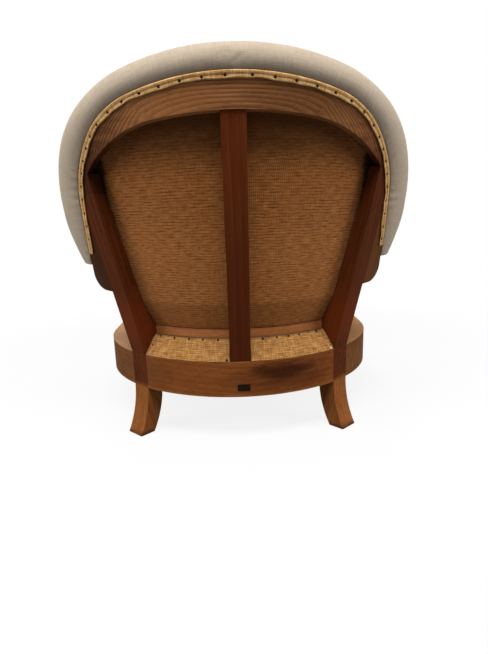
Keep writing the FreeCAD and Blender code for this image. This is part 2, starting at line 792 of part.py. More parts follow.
def seat_layers():
    """Spring hessian, stuffing and cover of the seat, from the inside out."""
    sheet = cut("spring_hessian", dome("dome_outside", ZERO), dome("dome_inside", -S.skin))
    inset = S.skin + S.soft_gap
    stuffing = cut("seat_stuffing", seat_form("stuffing_form", inset, S.soft_gap, INNER_CHORDS),
                   dome("stuffing_hollow", S.soft_gap))
    hollow = seat_form("cover_hollow", S.skin, -S.skin, INNER_CHORDS)
    cover = cut("seat_cover", seat_form("cover_form", ZERO, S.soft_gap, OUTER_CHORDS, True), hollow,
                dome("cover_hessian", S.soft_gap))
    return sheet, stuffing, cover


# Back upholstery

def hessian_lines():
    """Corners of the hessian's section, along the inner faces of stiles and crest."""
    gap, thick = S.soft_gap, S.skin
    low = S.back_rail_base + S.back_rail_height + gap
    heel = BACK_RAIL_OUTER - S.skin
    bend = back_radius(S.stile_bend) - S.stile_bend_depth - gap * 2
    top = back_radius(HESSIAN_TOP) - S.crest_thick - gap * 2
    outer = [(heel, low), (bend, S.stile_bend), (top, HESSIAN_TOP)]
    return outer + [(radius - thick, height) for radius, height in reversed(outer)]


def turn_round(body, section, half_angle):
    """Section swept about the head's axis, to both sides of the centreline alike."""
    sketch = outline(body, "YZ_Plane", section)
    turn = body.newObject("PartDesign::Revolution", f"{body.Name}_turn")
    turn.Profile = sketch
    turn.ReferenceAxis = (sketch, ["V_Axis"])
    turn.Angle = 2 * half_angle.value
    turn.setExpression("Angle", (half_angle * 2).text)
    turn.Midplane = True


def hessian(trim):
    """Sheet of hessian across the inside of the back's frame."""
    body = new_body("hessian_round")
    turn_round(body, hessian_lines(), S.hessian_half_angle)
    return common("back_hessian", place(body), trim)


def arch_half_width(height):
    """Half width of the back's arched outline at a height."""
    centre_x = ARCH_HALF.value - S.shoulder_radius.value
    crown_z = S.arch_top.value - S.crown_radius.value
    gap = S.crown_radius.value - S.shoulder_radius.value
    rise = math.sqrt(gap ** 2 - centre_x ** 2)
    shoulder_z = crown_z + rise
    flare = math.radians(S.side_flare.value)
    side_z = shoulder_z + S.shoulder_radius.value * math.sin(flare)
    if height <= side_z:
        return centre_x + S.shoulder_radius.value * math.cos(flare) + (side_z - height) * math.tan(flare)
    if height <= crown_z + S.crown_radius.value * rise / gap:
        return centre_x + math.sqrt(S.shoulder_radius.value ** 2 - (height - shoulder_z) ** 2)
    return math.sqrt(max(S.crown_radius.value ** 2 - (height - crown_z) ** 2, 0.0))


def back_pad():
    """Inside back: a crowned pad in front of the hessian, wider above where it fills the wings."""
    body = new_body("back_pad_round")
    base = S.back_rail_base + S.back_rail_height + S.soft_gap * 2
    behind = S.skin + S.back_pad_gap
    heel, bend, top = [radius - behind for radius, height in hessian_lines()[:3]]
    rise = (top - bend) / (HESSIAN_TOP - S.stile_bend)
    middle = bend + rise * (S.roll_end - S.stile_bend)
    top = bend + rise * (BACK_PAD_TOP - S.stile_bend)
    face = middle - S.back_pad_thick
    head = top - S.back_pad_head
    lower = [(heel, base), (bend, S.stile_bend), (middle, S.roll_end), (face, S.roll_end),
             (heel - S.back_pad_foot, base)]
    upper = [(middle, S.roll_end), (top, BACK_PAD_TOP), (head, BACK_PAD_TOP)]
    for step in range(1, CROWN_CHORDS):
        share = step / CROWN_CHORDS
        swell = S.back_pad_swell * (4 * share * (1 - share))
        upper.append((head + (face - head) * share - swell,
                      BACK_PAD_TOP + (S.roll_end - BACK_PAD_TOP) * share))
    upper.append((face, S.roll_end))
    turn_round(body, lower, S.back_pad_low_angle)
    turn_round(body, upper, S.back_pad_high_angle)
    return common("inside_back", place(body), rear_prism("back_pad_trim", arch_lines(S.back_pad_margin)))


def roll_path():
    """Stations up the left half of the arch to its crown: point, outward way and fullness."""
    centre_x = ARCH_HALF.value - S.shoulder_radius.value
    crown_z = S.arch_top.value - S.crown_radius.value
    gap = S.crown_radius.value - S.shoulder_radius.value
    rise = math.sqrt(gap ** 2 - centre_x ** 2)
    shoulder_z = crown_z + rise
    flare = math.radians(S.side_flare.value)
    lean_in = math.pi / 2 - math.asin(centre_x / gap)
    stations = []
    side_z = shoulder_z + S.shoulder_radius.value * math.sin(flare)
    for share, fullness in ((0.0, 0.2), (0.16, 0.55), (0.42, 0.86), (0.75, 1.0)):
        height = S.roll_end.value + (side_z - S.roll_end.value) * share
        stations.append((arch_half_width(height), height, flare, fullness))
    for step in range(SHOULDER_STEPS):
        turn = flare + (lean_in - flare) * step / SHOULDER_STEPS
        stations.append((centre_x + S.shoulder_radius.value * math.cos(turn),
                         shoulder_z + S.shoulder_radius.value * math.sin(turn), turn, 1.0))
    for step in range(CROWN_STEPS + 1):
        turn = lean_in + (math.pi / 2 - lean_in) * step / CROWN_STEPS
        stations.append((S.crown_radius.value * math.cos(turn),
                         crown_z + S.crown_radius.value * math.sin(turn), turn, 1.0))
    return stations


def roll_section(x, height, turn, fullness):
    """Section of the edge roll at a station: flat on the crest's edge and swollen all round."""
    way_x, way_z = math.cos(turn), math.sin(turn)

    def face_y(px, pz):
        radius = back_radius(as_size(pz)).value
        return math.sqrt(max(radius ** 2 - px ** 2, 0.0))

    start_y = face_y(x, height)

    def at(rise, depth):
        out = S.roll_gap.value + rise * fullness
        px, pz = x + way_x * out, height + way_z * out
        held_x = min(abs(px), ROLL_SIDE * back_radius(as_size(pz)).value)
        follow = (face_y(held_x, pz) - start_y) * S.roll_wrap.value
        return Vector(px, HEAD_Y.value + start_y + follow + depth, pz)

    high, back, front = S.roll_rise.value, S.roll_back.value, S.roll_front.value
    rear_foot, rear_swell = at(0.0, 0.0), at(0.5 * high, back * fullness)
    top, front_swell, front_foot = at(high, -0.3 * front), at(0.6 * high, -0.85 * front), at(0.0, -front)
    points = []
    for arc in (Part.Arc(rear_foot, rear_swell, top), Part.Arc(top, front_swell, front_foot)):
        points.extend(arc.discretize(Number=ROLL_CHORDS + 1)[:-1])
    return Part.makePolygon(points + [front_foot, rear_foot])


def edge_roll():
    """Thick roll round the back's outline, from wing to wing."""
    left = roll_path()
    right = [(-x, height, math.pi - turn, fullness) for x, height, turn, fullness in reversed(left[:-1])]
    sections = [roll_section(*station) for station in left + right]
    return soft_feature("edge_roll_form", Part.makeLoft(sections, True, True))


def tack_strip(arch):
    """Folded strip that covers the linen's edge, just inside the back's outline."""
    shell = back_shell("strip", S.strip_end, S.arch_top + S.crest_thick, S.strip_gap + S.strip_thick,
                       S.strip_thick)
    inner = rear_prism("strip_inner_line", arch_lines(S.strip_width))
    return cut("tack_strip", common("tack_strip", shell, arch), inner)


def gusset(splat_body):
    """Jute that closes the gap between the rear rail's top edge and the lower back rail."""
    low = RAIL_TOP + S.soft_gap
    top_radius = BACK_RAIL_OUTER + S.gusset_thick + S.soft_gap
    shell = cone_shell("gusset", low, S.gusset_top, S.seat_radius, top_radius, S.gusset_thick)
    span = between_posts("gusset_span", low, S.gusset_top - low)
    return cut("rear_gusset", common("rear_gusset", shell, span), splat_body)


def build():
    """Makes every sub-part and gives it the name of its node."""
    pieces = {}
    rear_rail_blank = end_rail("rear_rail")
    foot_rail = end_rail("foot_rail", y=FOOT_Y, angle=HALF_TURN)
    splat_body = splat()
    rear_rail = cut("rear_seat_rail", rear_rail_blank, splat_body)
    left_rail = side_rail()
    pins = [dowel(height) for height in (S.dowel_low, S.dowel_high)]
    holes = [dowel_hole(pin) for pin in pins]
    left_post = cut("rear_leg_left", rear_post(), rear_rail_blank, left_rail, *holes)
    right_post = mirrored("rear_leg_right_mirror", left_post)
    left_front = cut("front_leg_left", front_post(), foot_rail, left_rail)
    arch = rear_prism("arch", arch_lines(ZERO))
    left_wing = wing(holes)
    posts = (left_post, right_post)
    all_pins = DOC.addObject("Part::Compound", "dowel_set")
    all_pins.Links = pins + [mirrored("wing_dowel_mirror", pin) for pin in pins]
    pieces["rear_leg_left"] = left_post
    pieces["rear_leg_right"] = right_post
    pieces["front_leg_left"] = left_front
    pieces["front_leg_right"] = mirrored("front_leg_right_mirror", left_front)
    pieces["rear_seat_rail"] = rear_rail
    pieces["foot_seat_rail"] = foot_rail
    pieces["side_seat_rail_left"] = left_rail
    pieces["side_seat_rail_right"] = mirrored("side_seat_rail_right_mirror", left_rail)
    pieces["crest_rail"] = crest(posts, splat_body, arch)
    pieces["wing_rail_left"] = left_wing
    pieces["wing_rail_right"] = mirrored("wing_rail_right_mirror", left_wing)
    pieces["wing_dowels"] = all_pins
    pieces["centre_splat"] = splat_body
    pieces["lower_back_rail"] = back_rail(posts)
    pieces["rail_plate"] = plate()
    pieces["long_webbing"] = straps("long_webbing", LONG_STRAPS, True, S.rail_base - S.strap_thick)
    pieces["cross_webbing"] = straps("cross_webbing", CROSS_STRAPS, False, S.rail_base)
    pieces["seat_springs"] = springs()
    pieces["spring_hessian"], pieces["seat_stuffing"], pieces["seat_cover"] = seat_layers()
    pieces["back_hessian"] = hessian(rear_prism("hessian_trim", arch_lines(S.strip_width)))
    pieces["inside_back_pad"] = back_pad()
    pieces["edge_roll"] = edge_roll()
    pieces["tack_strip"] = tack_strip(arch)
    pieces["rear_gusset"] = gusset(splat_body)
    return pieces


def check(pieces):
    """Stops if any object failed, or if a sub-part is empty or broken."""
    faults = [obj.Name for obj in DOC.Objects if "Invalid" in obj.State or "Error" in obj.State]
    for label, obj in pieces.items():
        if obj.Shape.isNull() or not obj.Shape.isValid() or not obj.Shape.Solids:
            faults.append(label)
    if faults:
        raise ValueError("failed: " + ", ".join(faults))


def main():
    pieces = build()
    DOC.recompute()
    for label, obj in pieces.items():
        obj.Label = label
    check(pieces)
    os.makedirs("parts", exist_ok=True)
    for label, obj in pieces.items():
        obj.Shape.exportStep(f"parts/{label}.step")
        box = obj.Shape.BoundBox
        print(f"{label}: {len(obj.Shape.Solids)} solids, {obj.Shape.Volume / 1000:.1f} cm3, "
              f"x {box.XMin:.1f} {box.XMax:.1f} y {box.YMin:.1f} {box.YMax:.1f} "
              f"z {box.ZMin:.1f} {box.ZMax:.1f}")


main()
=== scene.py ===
"""Looks of an unfinished meridienne seen from behind: bare wood, linen over stuffing, hessian and jute."""

import logging
import math
from collections.abc import Sequence
from dataclasses import dataclass, replace
from enum import Enum

import bmesh
import bpy
from mathutils import Color, Matrix, Vector


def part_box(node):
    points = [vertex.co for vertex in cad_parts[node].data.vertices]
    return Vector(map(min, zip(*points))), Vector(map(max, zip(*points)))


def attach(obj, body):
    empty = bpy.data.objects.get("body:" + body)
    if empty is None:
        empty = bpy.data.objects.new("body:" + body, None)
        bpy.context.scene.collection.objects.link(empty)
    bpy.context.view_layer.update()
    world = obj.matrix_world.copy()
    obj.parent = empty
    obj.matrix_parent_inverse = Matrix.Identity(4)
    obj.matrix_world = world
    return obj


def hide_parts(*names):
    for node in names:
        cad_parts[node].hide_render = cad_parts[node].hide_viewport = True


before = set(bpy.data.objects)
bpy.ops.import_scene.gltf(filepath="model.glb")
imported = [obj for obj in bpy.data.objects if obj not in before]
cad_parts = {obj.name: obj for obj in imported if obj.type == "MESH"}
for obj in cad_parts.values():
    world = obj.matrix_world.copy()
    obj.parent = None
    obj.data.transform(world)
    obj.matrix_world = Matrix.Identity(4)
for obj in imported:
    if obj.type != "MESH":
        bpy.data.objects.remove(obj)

LOG = logging.getLogger("meridienne")
BODY = "root"
MAP_NAME = "threads"
MILLI = 0.001
FULL_TURN = 2 * math.pi
BEHIND = Vector((0, 3, 0.5))
BELOW = Vector((0, 0, -5))
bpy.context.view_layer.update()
# Inputs of the node groups that are vectors; the others are numbers.
VECTORS = ("Vector", "Place")
# Sockets of a Mix node that carry the factor, both colours and the mixed colour.
MIX_INPUTS = (0, 6, 7)
MIX_RESULT = 2
# Phase of a Wave Texture over one unit of length, at a scale of 1.
RING_UNIT = 20.0
FULL_COLOUR = 255

Colour = tuple[int, int, int]
Pair = tuple[float, float]
Triple = tuple[float, float, float]
Rows = list[Sequence[Vector]]
Places = list[tuple[Vector, Vector]]
Piece = bpy.types.Object
Mesh = bpy.types.Mesh
Material = bpy.types.Material
Tree = bpy.types.NodeTree
Node = bpy.types.Node
Socket = bpy.types.NodeSocket


class Slot(Enum):
    """Material slots of the record."""

    LINEN = "linen"
    HESSIAN = "hessian"
    JUTE = "jute"
    WEBBING = "webbing"
    SPRING = "spring_steel"
    PLATE = "plate_metal"


class Lay(Enum):
    """How the threads of a cloth lie on its piece."""

    MAPPED = "along the piece's own map"
    ROUND = "round the axis of the back"


class Hold(Enum):
    """How a sheet is held."""

    STRETCHED = "stretched"
    FOLDED = "folded"


def linear(colour: Colour) -> tuple[float, float, float, float]:
    """Turns a display colour of 0 to FULL_COLOUR into the linear colour that sockets take."""
    shown = Color([part / FULL_COLOUR for part in colour])
    return (*shown.from_srgb_to_scene_linear(), 1.0)


def smooth(value: float, low: float, high: float) -> float:
    """Eases from 0 to 1 as a value goes from low to high."""
    share = min(max((value - low) / (high - low), 0.0), 1.0)
    return share * share * (3 - 2 * share)


def between(first: float, last: float, share: float) -> float:
    """Goes a share of the way from one number to another."""
    return first + (last - first) * share


class Wiring:
    """Adds nodes to one node tree and links them."""

    def __init__(self, tree: Tree) -> None:
        """Keeps the tree that nodes go into."""
        self.tree = tree

    def put(self, socket: Socket, value: object) -> None:
        """Links a socket to another, or sets it to a plain value.

        Args:
            socket: the input.
            value: an output to link it to, or a plain value.
        """
        if isinstance(value, Socket):
            self.tree.links.new(value, socket)
        else:
            socket.default_value = value

    def add(self, kind: str, **settings: object) -> Node:
        """Adds a node and sets its properties.

        Args:
            kind: type of the node, without the prefix that all have.
            settings: its properties.

        Returns:
            The node.
        """
        node = self.tree.nodes.new("ShaderNode" + kind)
        for name, value in settings.items():
            setattr(node, name, value)
        return node

    def fed(self, node: Node, *values: object) -> Node:
        """Feeds the first inputs of a node, in their order.

        Args:
            node: the node.
            values: outputs or plain values.

        Returns:
            The same node.
        """
        for socket, value in zip(node.inputs, values):
            self.put(socket, value)
        return node

    def named(self, node: Node, **values: object) -> Node:
        """Feeds inputs of a node by their names.

        Args:
            node: the node.
            values: outputs or plain values, by the inputs' names.

        Returns:
            The same node.
        """
        for name, value in values.items():
            self.put(node.inputs[name.replace("_", " ").title()], value)
        return node

    def math(self, operation: str, *values: object) -> Socket:
        """Works numbers out with a Math node."""
        return self.fed(self.add("Math", operation=operation), *values).outputs[0]

    def vector(self, operation: str, *values: object) -> Node:
        """Works vectors out with a Vector Math node."""
        return self.fed(self.add("VectorMath", operation=operation), *values)

    def spread(self, value: Socket, low: object, high: object, first: float = 0.0,
               last: float = 1.0) -> Socket:
        """Maps a value smoothly from low and high to first and last, and holds it between them."""
        node = self.add("MapRange", interpolation_type="SMOOTHSTEP")
        return self.fed(node, value, low, high, first, last).outputs[0]

    def noise(self, vector: Socket, scale: float = 1.0, detail: float = 2.0, rough: float = 0.5) -> Socket:
        """Adds a Noise Texture and returns its factor."""
        node = self.add("TexNoise")
        return self.named(node, vector=vector, scale=scale, detail=detail, roughness=rough).outputs[0]

    def mapped(self, vector: Socket, place: tuple = (0, 0, 0), turn: tuple = (0, 0, 0),
               scale: tuple = (1, 1, 1)) -> Socket:
        """Adds a Mapping node and returns its vector."""
        node = self.add("Mapping")
        return self.named(node, vector=vector, location=place, rotation=turn, scale=scale).outputs[0]

    def joined(self, *values: object) -> Socket:
        """Combines up to three numbers into a vector."""
        return self.fed(self.add("CombineXYZ"), *values).outputs[0]

    def parts(self, vector: Socket) -> Sequence[Socket]:
        """Splits a vector into its three numbers."""
        return self.fed(self.add("SeparateXYZ"), vector).outputs

    def mix(self, factor: object, first: object, second: object, blend: str = "MIX") -> Socket:
        """Mixes two colours.

        Args:
            factor: share of the second colour.
            first: colour underneath.
            second: colour on top.
            blend: way of mixing.

        Returns:
            The mixed colour.
        """
        node = self.add("Mix", data_type="RGBA", blend_type=blend)
        for index, value in zip(MIX_INPUTS, (factor, first, second)):
            self.put(node.inputs[index], value)
        return node.outputs[MIX_RESULT]

    def ramp(self, factor: Socket, stops: tuple[tuple[float, Colour], ...]) -> Socket:
        """Colours a factor by stops of place and display colour.

        Args:
            factor: the number.
            stops: places and their colours.

        Returns:
            The colour.
        """
        node = self.fed(self.add("ValToRGB"), factor)
        elements = node.color_ramp.elements
        while len(elements) < len(stops):
            elements.new(0.5)
        for element, (place, colour) in zip(elements, stops):
            element.position = place
            element.color = linear(colour)
        return node.outputs[0]

    def group(self, tree: Tree, **values: object) -> Node:
        """Places a node group and feeds its named inputs."""
        return self.named(self.add("Group", node_tree=tree), **values)


def new_group(name: str, inputs: tuple[str, ...], outputs: tuple[str, ...]) -> tuple[Wiring, dict, Node]:
    """Starts a shader node group.

    Args:
        name: name of the group.
        inputs: names of the inputs, which are numbers apart from those in VECTORS.
        outputs: names of the outputs, all of them numbers.

    Returns:
        The group's wiring, its input sockets by name, and its output node.
    """
    tree = bpy.data.node_groups.new(name, "ShaderNodeTree")
    for label in inputs:
        kind = "NodeSocketVector" if label in VECTORS else "NodeSocketFloat"
        tree.interface.new_socket(label, in_out="INPUT", socket_type=kind)
    for label in outputs:
        tree.interface.new_socket(label, in_out="OUTPUT", socket_type="NodeSocketFloat")
    start = tree.nodes.new("NodeGroupInput")
    end = tree.nodes.new("NodeGroupOutput")
    return Wiring(tree), {label: start.outputs[label] for label in inputs}, end


class Effects:
    """Effects that several finishes share, each built once as a node group."""

    RING_BEND = (1.6, 7.0, 7.0)
    RING_STRETCH = (0.10, 1.0, 1.0)
    FIBRES = (((9.0, 360.0, 360.0), 0.42), ((5.0, 34.0, 34.0), 0.52))
    PORES = (38.0, 800.0, 800.0)
    PATCH_STRETCH = (0.3, 0.5, 1.6)
    PATCH_EDGES = (0.35, -1.65)

    def __init__(self) -> None:
        """Builds the groups."""
        self.grain = self.make_grain()
        self.weave = self.make_weave()
        self.spot = self.make_spot()

    def make_grain(self) -> Tree:
        """Wood with its fibres along X: growth rings round a heart, fine fibres and short pores.

        Returns:
            The node group.
        """
        names = ("Vector", "Ring Scale", "Ring Share", "Wander")
        wire, given, end = new_group("wood_grain", names, ("Tone", "Pore"))
        place = given["Vector"]
        slow = wire.noise(wire.mapped(place, scale=self.RING_BEND))
        bend = wire.math("MULTIPLY", wire.math("SUBTRACT", slow, 0.5), given["Wander"])
        bent = wire.vector("ADD", wire.mapped(place, scale=self.RING_STRETCH), wire.joined(0.0, bend, bend))
        rings = wire.add("TexWave", wave_type="RINGS", rings_direction="X", wave_profile="SAW")
        wire.named(rings, vector=bent.outputs[0], scale=given["Ring Scale"], distortion=1.2, detail=2.0,
                   detail_scale=0.6)
        tone = wire.math("MULTIPLY", rings.outputs["Fac"], given["Ring Share"])
        for scale, share in self.FIBRES:
            fibre = wire.noise(wire.mapped(place, scale=scale), detail=3.0, rough=0.6)
            tone = wire.math("MULTIPLY_ADD", fibre, share, tone)
        pore = wire.noise(wire.mapped(place, scale=self.PORES), detail=1.0)
        wire.named(end, tone=tone, pore=wire.spread(pore, low=0.60, high=0.70))
        return wire.tree

    def make_weave(self) -> Tree:
        """Plain weave of a given pitch, with thick and thin threads both ways.

        Returns:
            The node group.
        """
        names = ("Along", "Across", "Pitch", "Rib", "Run", "Thread")
        wire, given, end = new_group("cloth_weave", names, ("Height", "Line", "Warp", "Weft"))
        waves = []
        for name, spacing in (("Along", "Pitch"), ("Across", "Rib")):
            turns = wire.math("DIVIDE", wire.math("MULTIPLY", given[name], math.pi), given[spacing])
            waves.append(wire.math("ABSOLUTE", wire.math("SINE", turns)))
        height = wire.math("SQRT", wire.math("MULTIPLY", *waves))
        wire.named(end, height=height, line=wire.spread(waves[1], low=0.62, high=0.12))
        fine = wire.math("DIVIDE", given["Thread"], given["Pitch"])
        for name, long_way, short_way in (("warp", "Across", "Along"), ("weft", "Along", "Across")):
            runs = wire.math("MULTIPLY", given[long_way], given["Run"])
            threads = wire.math("MULTIPLY", given[short_way], fine)
            wire.named(end, **{name: wire.noise(wire.joined(runs, threads), rough=0.6)})
        return wire.tree

    def make_spot(self) -> Tree:
        """Ragged soft-edged patch: 1 inside the unit ball of its vector, 0 outside.

        Returns:
            The node group.
        """
        wire, given, end = new_group("ragged_patch", ("Vector", "Place", "Ragged", "Soft"), ("Mask",))
        reach = wire.vector("LENGTH", given["Vector"]).outputs["Value"]
        place = wire.mapped(given["Place"], scale=self.PATCH_STRETCH)
        torn = wire.math("SUBTRACT", wire.noise(place, scale=60.0, detail=4.0, rough=0.6), 0.5)
        edge = wire.math("MULTIPLY_ADD", torn, given["Ragged"], reach)
        outer, inner = (wire.math("MULTIPLY_ADD", given["Soft"], share, 1.0) for share in self.PATCH_EDGES)
        wire.named(end, mask=wire.spread(edge, outer, inner))
        return wire.tree


@dataclass(frozen=True)
class Mark:
    """Patch of another colour on a finish, such as a stain, a worn edge or painted shade."""

    colour: Colour
    place: Triple
    reach: Triple
    strength: float = 0.7
    ragged: float = 0.9
    soft: float = 0.42
    tint: bool = False


class Finish:
    """Starts a material and ends it in one Principled shader."""

    def __init__(self, name: str) -> None:
        """Makes an empty material of a name.

        Args:
            name: name of the material.
        """
        self.material = bpy.data.materials.new(name)
        self.material.use_nodes = True
        self.wire = Wiring(self.material.node_tree)
        self.shader = self.material.node_tree.nodes["Principled BSDF"]
        self.place = self.wire.add("TexCoord").outputs["Object"]

    def shine(self, specular: float, **others: float) -> None:
        """Sets how the shader shines, and other inputs by their names."""
        self.shader.inputs["Specular IOR Level"].default_value = specular
        self.wire.named(self.shader, **others)

    def marked(self, colour: Socket, marks: tuple[Mark, ...], spot: Tree) -> Socket:
        """Lays patches, shaped by a node group, over a colour one after another.

        Args:
            colour: colour underneath.
            marks: the patches.
            spot: node group that shapes them.

        Returns:
            The colour with its patches.
        """
        wire = self.wire
        for mark in marks:
            scale = tuple(1 / reach for reach in mark.reach)
            shift = tuple(-place / reach for place, reach in zip(mark.place, mark.reach))
            vector = wire.mapped(self.place, place=shift, scale=scale)
            patch = wire.group(spot, vector=vector, place=self.place, ragged=mark.ragged, soft=mark.soft)
            share = wire.math("MULTIPLY", patch.outputs["Mask"], mark.strength)
            colour = wire.mix(share, colour, linear(mark.colour), "MULTIPLY" if mark.tint else "MIX")
        return colour

    def done(self, colour: Socket, roughness: Socket, height: Socket, depth: float,
             strength: float) -> Material:
        """Feeds the shader.

        Args:
            colour: base colour.
            roughness: roughness.
            height: height of the relief.
            depth: depth of the relief in metres.
            strength: how strongly the relief shows.

        Returns:
            The material.
        """
        bump = self.wire.named(self.wire.add("Bump"), strength=strength, distance=depth, height=height)
        self.wire.named(self.shader, base_color=colour, roughness=roughness, normal=bump.outputs[0])
        return self.material


@dataclass(frozen=True)
class Board:
    """Board glued on beyond a slanting joint, with its own way of the grain."""

    edge: float
    edge_z: float
    slant: float
    side: int
    along: Triple
    heart: Triple
    ring: float
    seam: float = 0.4 * MILLI

    def mask(self, finish: Finish) -> Socket:
        """Gives 1 on the board and 0 on the rest of the wood.

        Args:
            finish: finish in the making.

        Returns:
            The mask.
        """
        wire = finish.wire
        x, _, z = wire.parts(finish.place)
        out = wire.math("MULTIPLY", x, float(self.side))
        line = wire.math("MULTIPLY_ADD", z, self.slant, self.edge - self.slant * self.edge_z)
        return wire.spread(wire.math("SUBTRACT", out, line), -self.seam, self.seam)


@dataclass(frozen=True)
class Wood:
    """Bare or old-polished wood, with the way its grain runs."""

    name: str
    dark: Colour
    middle: Colour
    light: Colour
    along: Triple = (1.0, 0.0, 0.0)
    heart: Triple = (0.0, 0.0, 0.0)
    ring: float = 0.007
    ring_share: float = 0.13
    wander: float = 0.03
    stops: Triple = (0.28, 0.56, 0.86)
    pore_dark: float = 0.45
    pore_depth: float = 0.6
    roughness: Pair = (0.62, 0.44)
    boards: tuple[Board, ...] = ()
    marks: tuple[Mark, ...] = ()

    def figure(self, finish: Finish, effects: Effects, source: "Wood | Board") -> Node:
        """Lays the grain as a wood or a board has it.

        Args:
            finish: finish in the making.
            effects: shared node groups.
            source: the wood or board that says how the grain runs.

        Returns:
            Node of the grain.
        """
        turn = Vector(source.along).rotation_difference(Vector((1, 0, 0))).to_euler("XYZ")
        shift = turn.to_matrix() @ -Vector(source.heart)
        vector = finish.wire.mapped(finish.place, place=tuple(shift), turn=tuple(turn))
        scale = FULL_TURN / (RING_UNIT * source.ring)
        return finish.wire.group(effects.grain, vector=vector, ring_scale=scale, ring_share=self.ring_share,
                                 wander=self.wander)

    def material(self, effects: Effects) -> Material:
        """Builds the wood's material from the shared node groups.

        Args:
            effects: shared node groups.

        Returns:
            The material.
        """
        finish = Finish(self.name)
        wire = finish.wire
        tone, pore = self.figure(finish, effects, self).outputs
        for board in self.boards:
            mask = board.mask(finish)
            other = self.figure(finish, effects, board).outputs["Tone"]
            tone = wire.math("MULTIPLY_ADD", wire.math("SUBTRACT", other, tone), mask, tone)
        stops = tuple(zip(self.stops, (self.dark, self.middle, self.light)))
        colour = finish.marked(wire.ramp(tone, stops), self.marks, effects.spot)
        colour = wire.mix(wire.math("MULTIPLY", pore, self.pore_dark), colour, linear(self.dark))
        finish.shine(specular=0.05)
        rough = wire.spread(tone, 0.2, 0.9, *self.roughness)
        height = wire.math("SUBTRACT", tone, wire.math("MULTIPLY", pore, self.pore_depth))
        return finish.done(colour, rough, height, depth=0.6 * MILLI, strength=0.5)


@dataclass(frozen=True)
class Cloth:
    """Plain-woven cloth, from fine linen to open jute."""

    name: str
    dark: Colour
    middle: Colour
    light: Colour
    lay: Lay
    pitch: float
    rib: float
    line: float = 0.0
    gap: float = 0.15
    weft_share: float = 0.5
    contrast: float = 1.0
    depth: float = 0.5 * MILLI
    sheen: float = 0.15
    run: float = 16.0
    thread: float = 0.55
    sway: float = 1.4
    tone_half: float = 0.22
    slub_relief: float = 0.8
    crumple: float = 0.0
    # Lines of painted shade across the cloth: place, half width and strength of each, shown between two
    # heights.
    painted_shade_lines: tuple[Triple, ...] = ()
    painted_shade_heights: Pair = (-2.0, -1.0)
    marks: tuple[Mark, ...] = ()

    def threads(self, finish: Finish) -> tuple[Socket, Socket]:
        """Finds how far along and across the cloth a point is, in metres.

        Args:
            finish: finish in the making.

        Returns:
            Both distances.
        """
        wire = finish.wire
        if self.lay is Lay.MAPPED:
            along, across, _ = wire.parts(wire.add("UVMap", uv_map=MAP_NAME).outputs[0])
            return along, across
        x, y, z = wire.parts(finish.place)
        turn = wire.math("ARCTAN2", x, wire.math("SUBTRACT", y, BACK.head_y))
        return wire.math("MULTIPLY", turn, BACK.ring), z

    def add_painted_shade_lines(self, finish: Finish, colour: Socket, across: Socket, deep: tuple) -> Socket:
        """Paints shade along lines across the cloth, between the heights where it shows.

        Args:
            finish: finish in the making.
            colour: colour of the cloth.
            across: distance across the cloth.
            deep: colour of the painted shade.

        Returns:
            The darkened colour.
        """
        wire = finish.wire
        shown = wire.spread(wire.parts(finish.place)[2], *self.painted_shade_heights)
        for centre, half, strength in self.painted_shade_lines:
            away = wire.math("ABSOLUTE", wire.math("SUBTRACT", across, centre))
            line_shade = wire.math("MULTIPLY", wire.spread(away, half, 0.0, last=strength), shown)
            colour = wire.mix(line_shade, colour, deep)
        return colour

    def material(self, effects: Effects) -> Material:
        """Builds the cloth's material from the shared node groups.

        Args:
            effects: shared node groups.

        Returns:
            The material.
        """
        finish = Finish(self.name)
        wire = finish.wire
        along, flat = self.threads(finish)
        sway = wire.math("SUBTRACT", wire.noise(wire.joined(along, flat), scale=22.0), 0.5)
        across = wire.math("MULTIPLY_ADD", sway, self.sway * self.pitch, flat)
        weave = wire.group(effects.weave, along=along, across=across, pitch=self.pitch, rib=self.rib,
                           run=self.run, thread=self.thread)
        height, line, warp, weft = weave.outputs
        thick_warp = wire.math("MULTIPLY", warp, 1 - self.weft_share)
        slub = wire.math("MULTIPLY_ADD", weft, self.weft_share, thick_warp)
        half = self.tone_half / self.contrast
        tone = wire.spread(slub, 0.5 - half, 0.5 + half)
        colour = wire.ramp(tone, ((0.0, self.dark), (0.5, self.middle), (1.0, self.light)))
        deep = linear(tuple(part // 3 for part in self.dark))
        hole = wire.math("MULTIPLY", wire.spread(height, low=0.55, high=0.1), self.gap)
        broken = wire.spread(weft, low=0.62, high=0.38, first=0.15)
        dash = wire.math("MULTIPLY", wire.math("MULTIPLY", line, broken), self.line)
        colour = wire.mix(wire.math("MAXIMUM", hole, dash), colour, deep)
        cloud = wire.noise(finish.place, scale=9.0, detail=3.0, rough=0.55)
        colour = wire.mix(wire.spread(cloud, low=0.52, high=0.75, last=0.22), colour, linear(self.dark))
        # Painted shade along lines across the cloth.
        colour = self.add_painted_shade_lines(finish, colour, flat, deep)
        colour = finish.marked(colour, self.marks, effects.spot)
        finish.shine(specular=0.06, sheen_weight=self.sheen)
        folds = wire.noise(finish.place, scale=95.0, detail=3.0, rough=0.6)
        relief = wire.math("MULTIPLY_ADD", slub, self.slub_relief, height)
        relief = wire.math("MULTIPLY_ADD", folds, self.crumple, relief)
        rough = wire.spread(tone, 0.0, 1.0, first=0.95, last=0.85)
        return finish.done(colour, rough, relief, self.depth, strength=0.6)


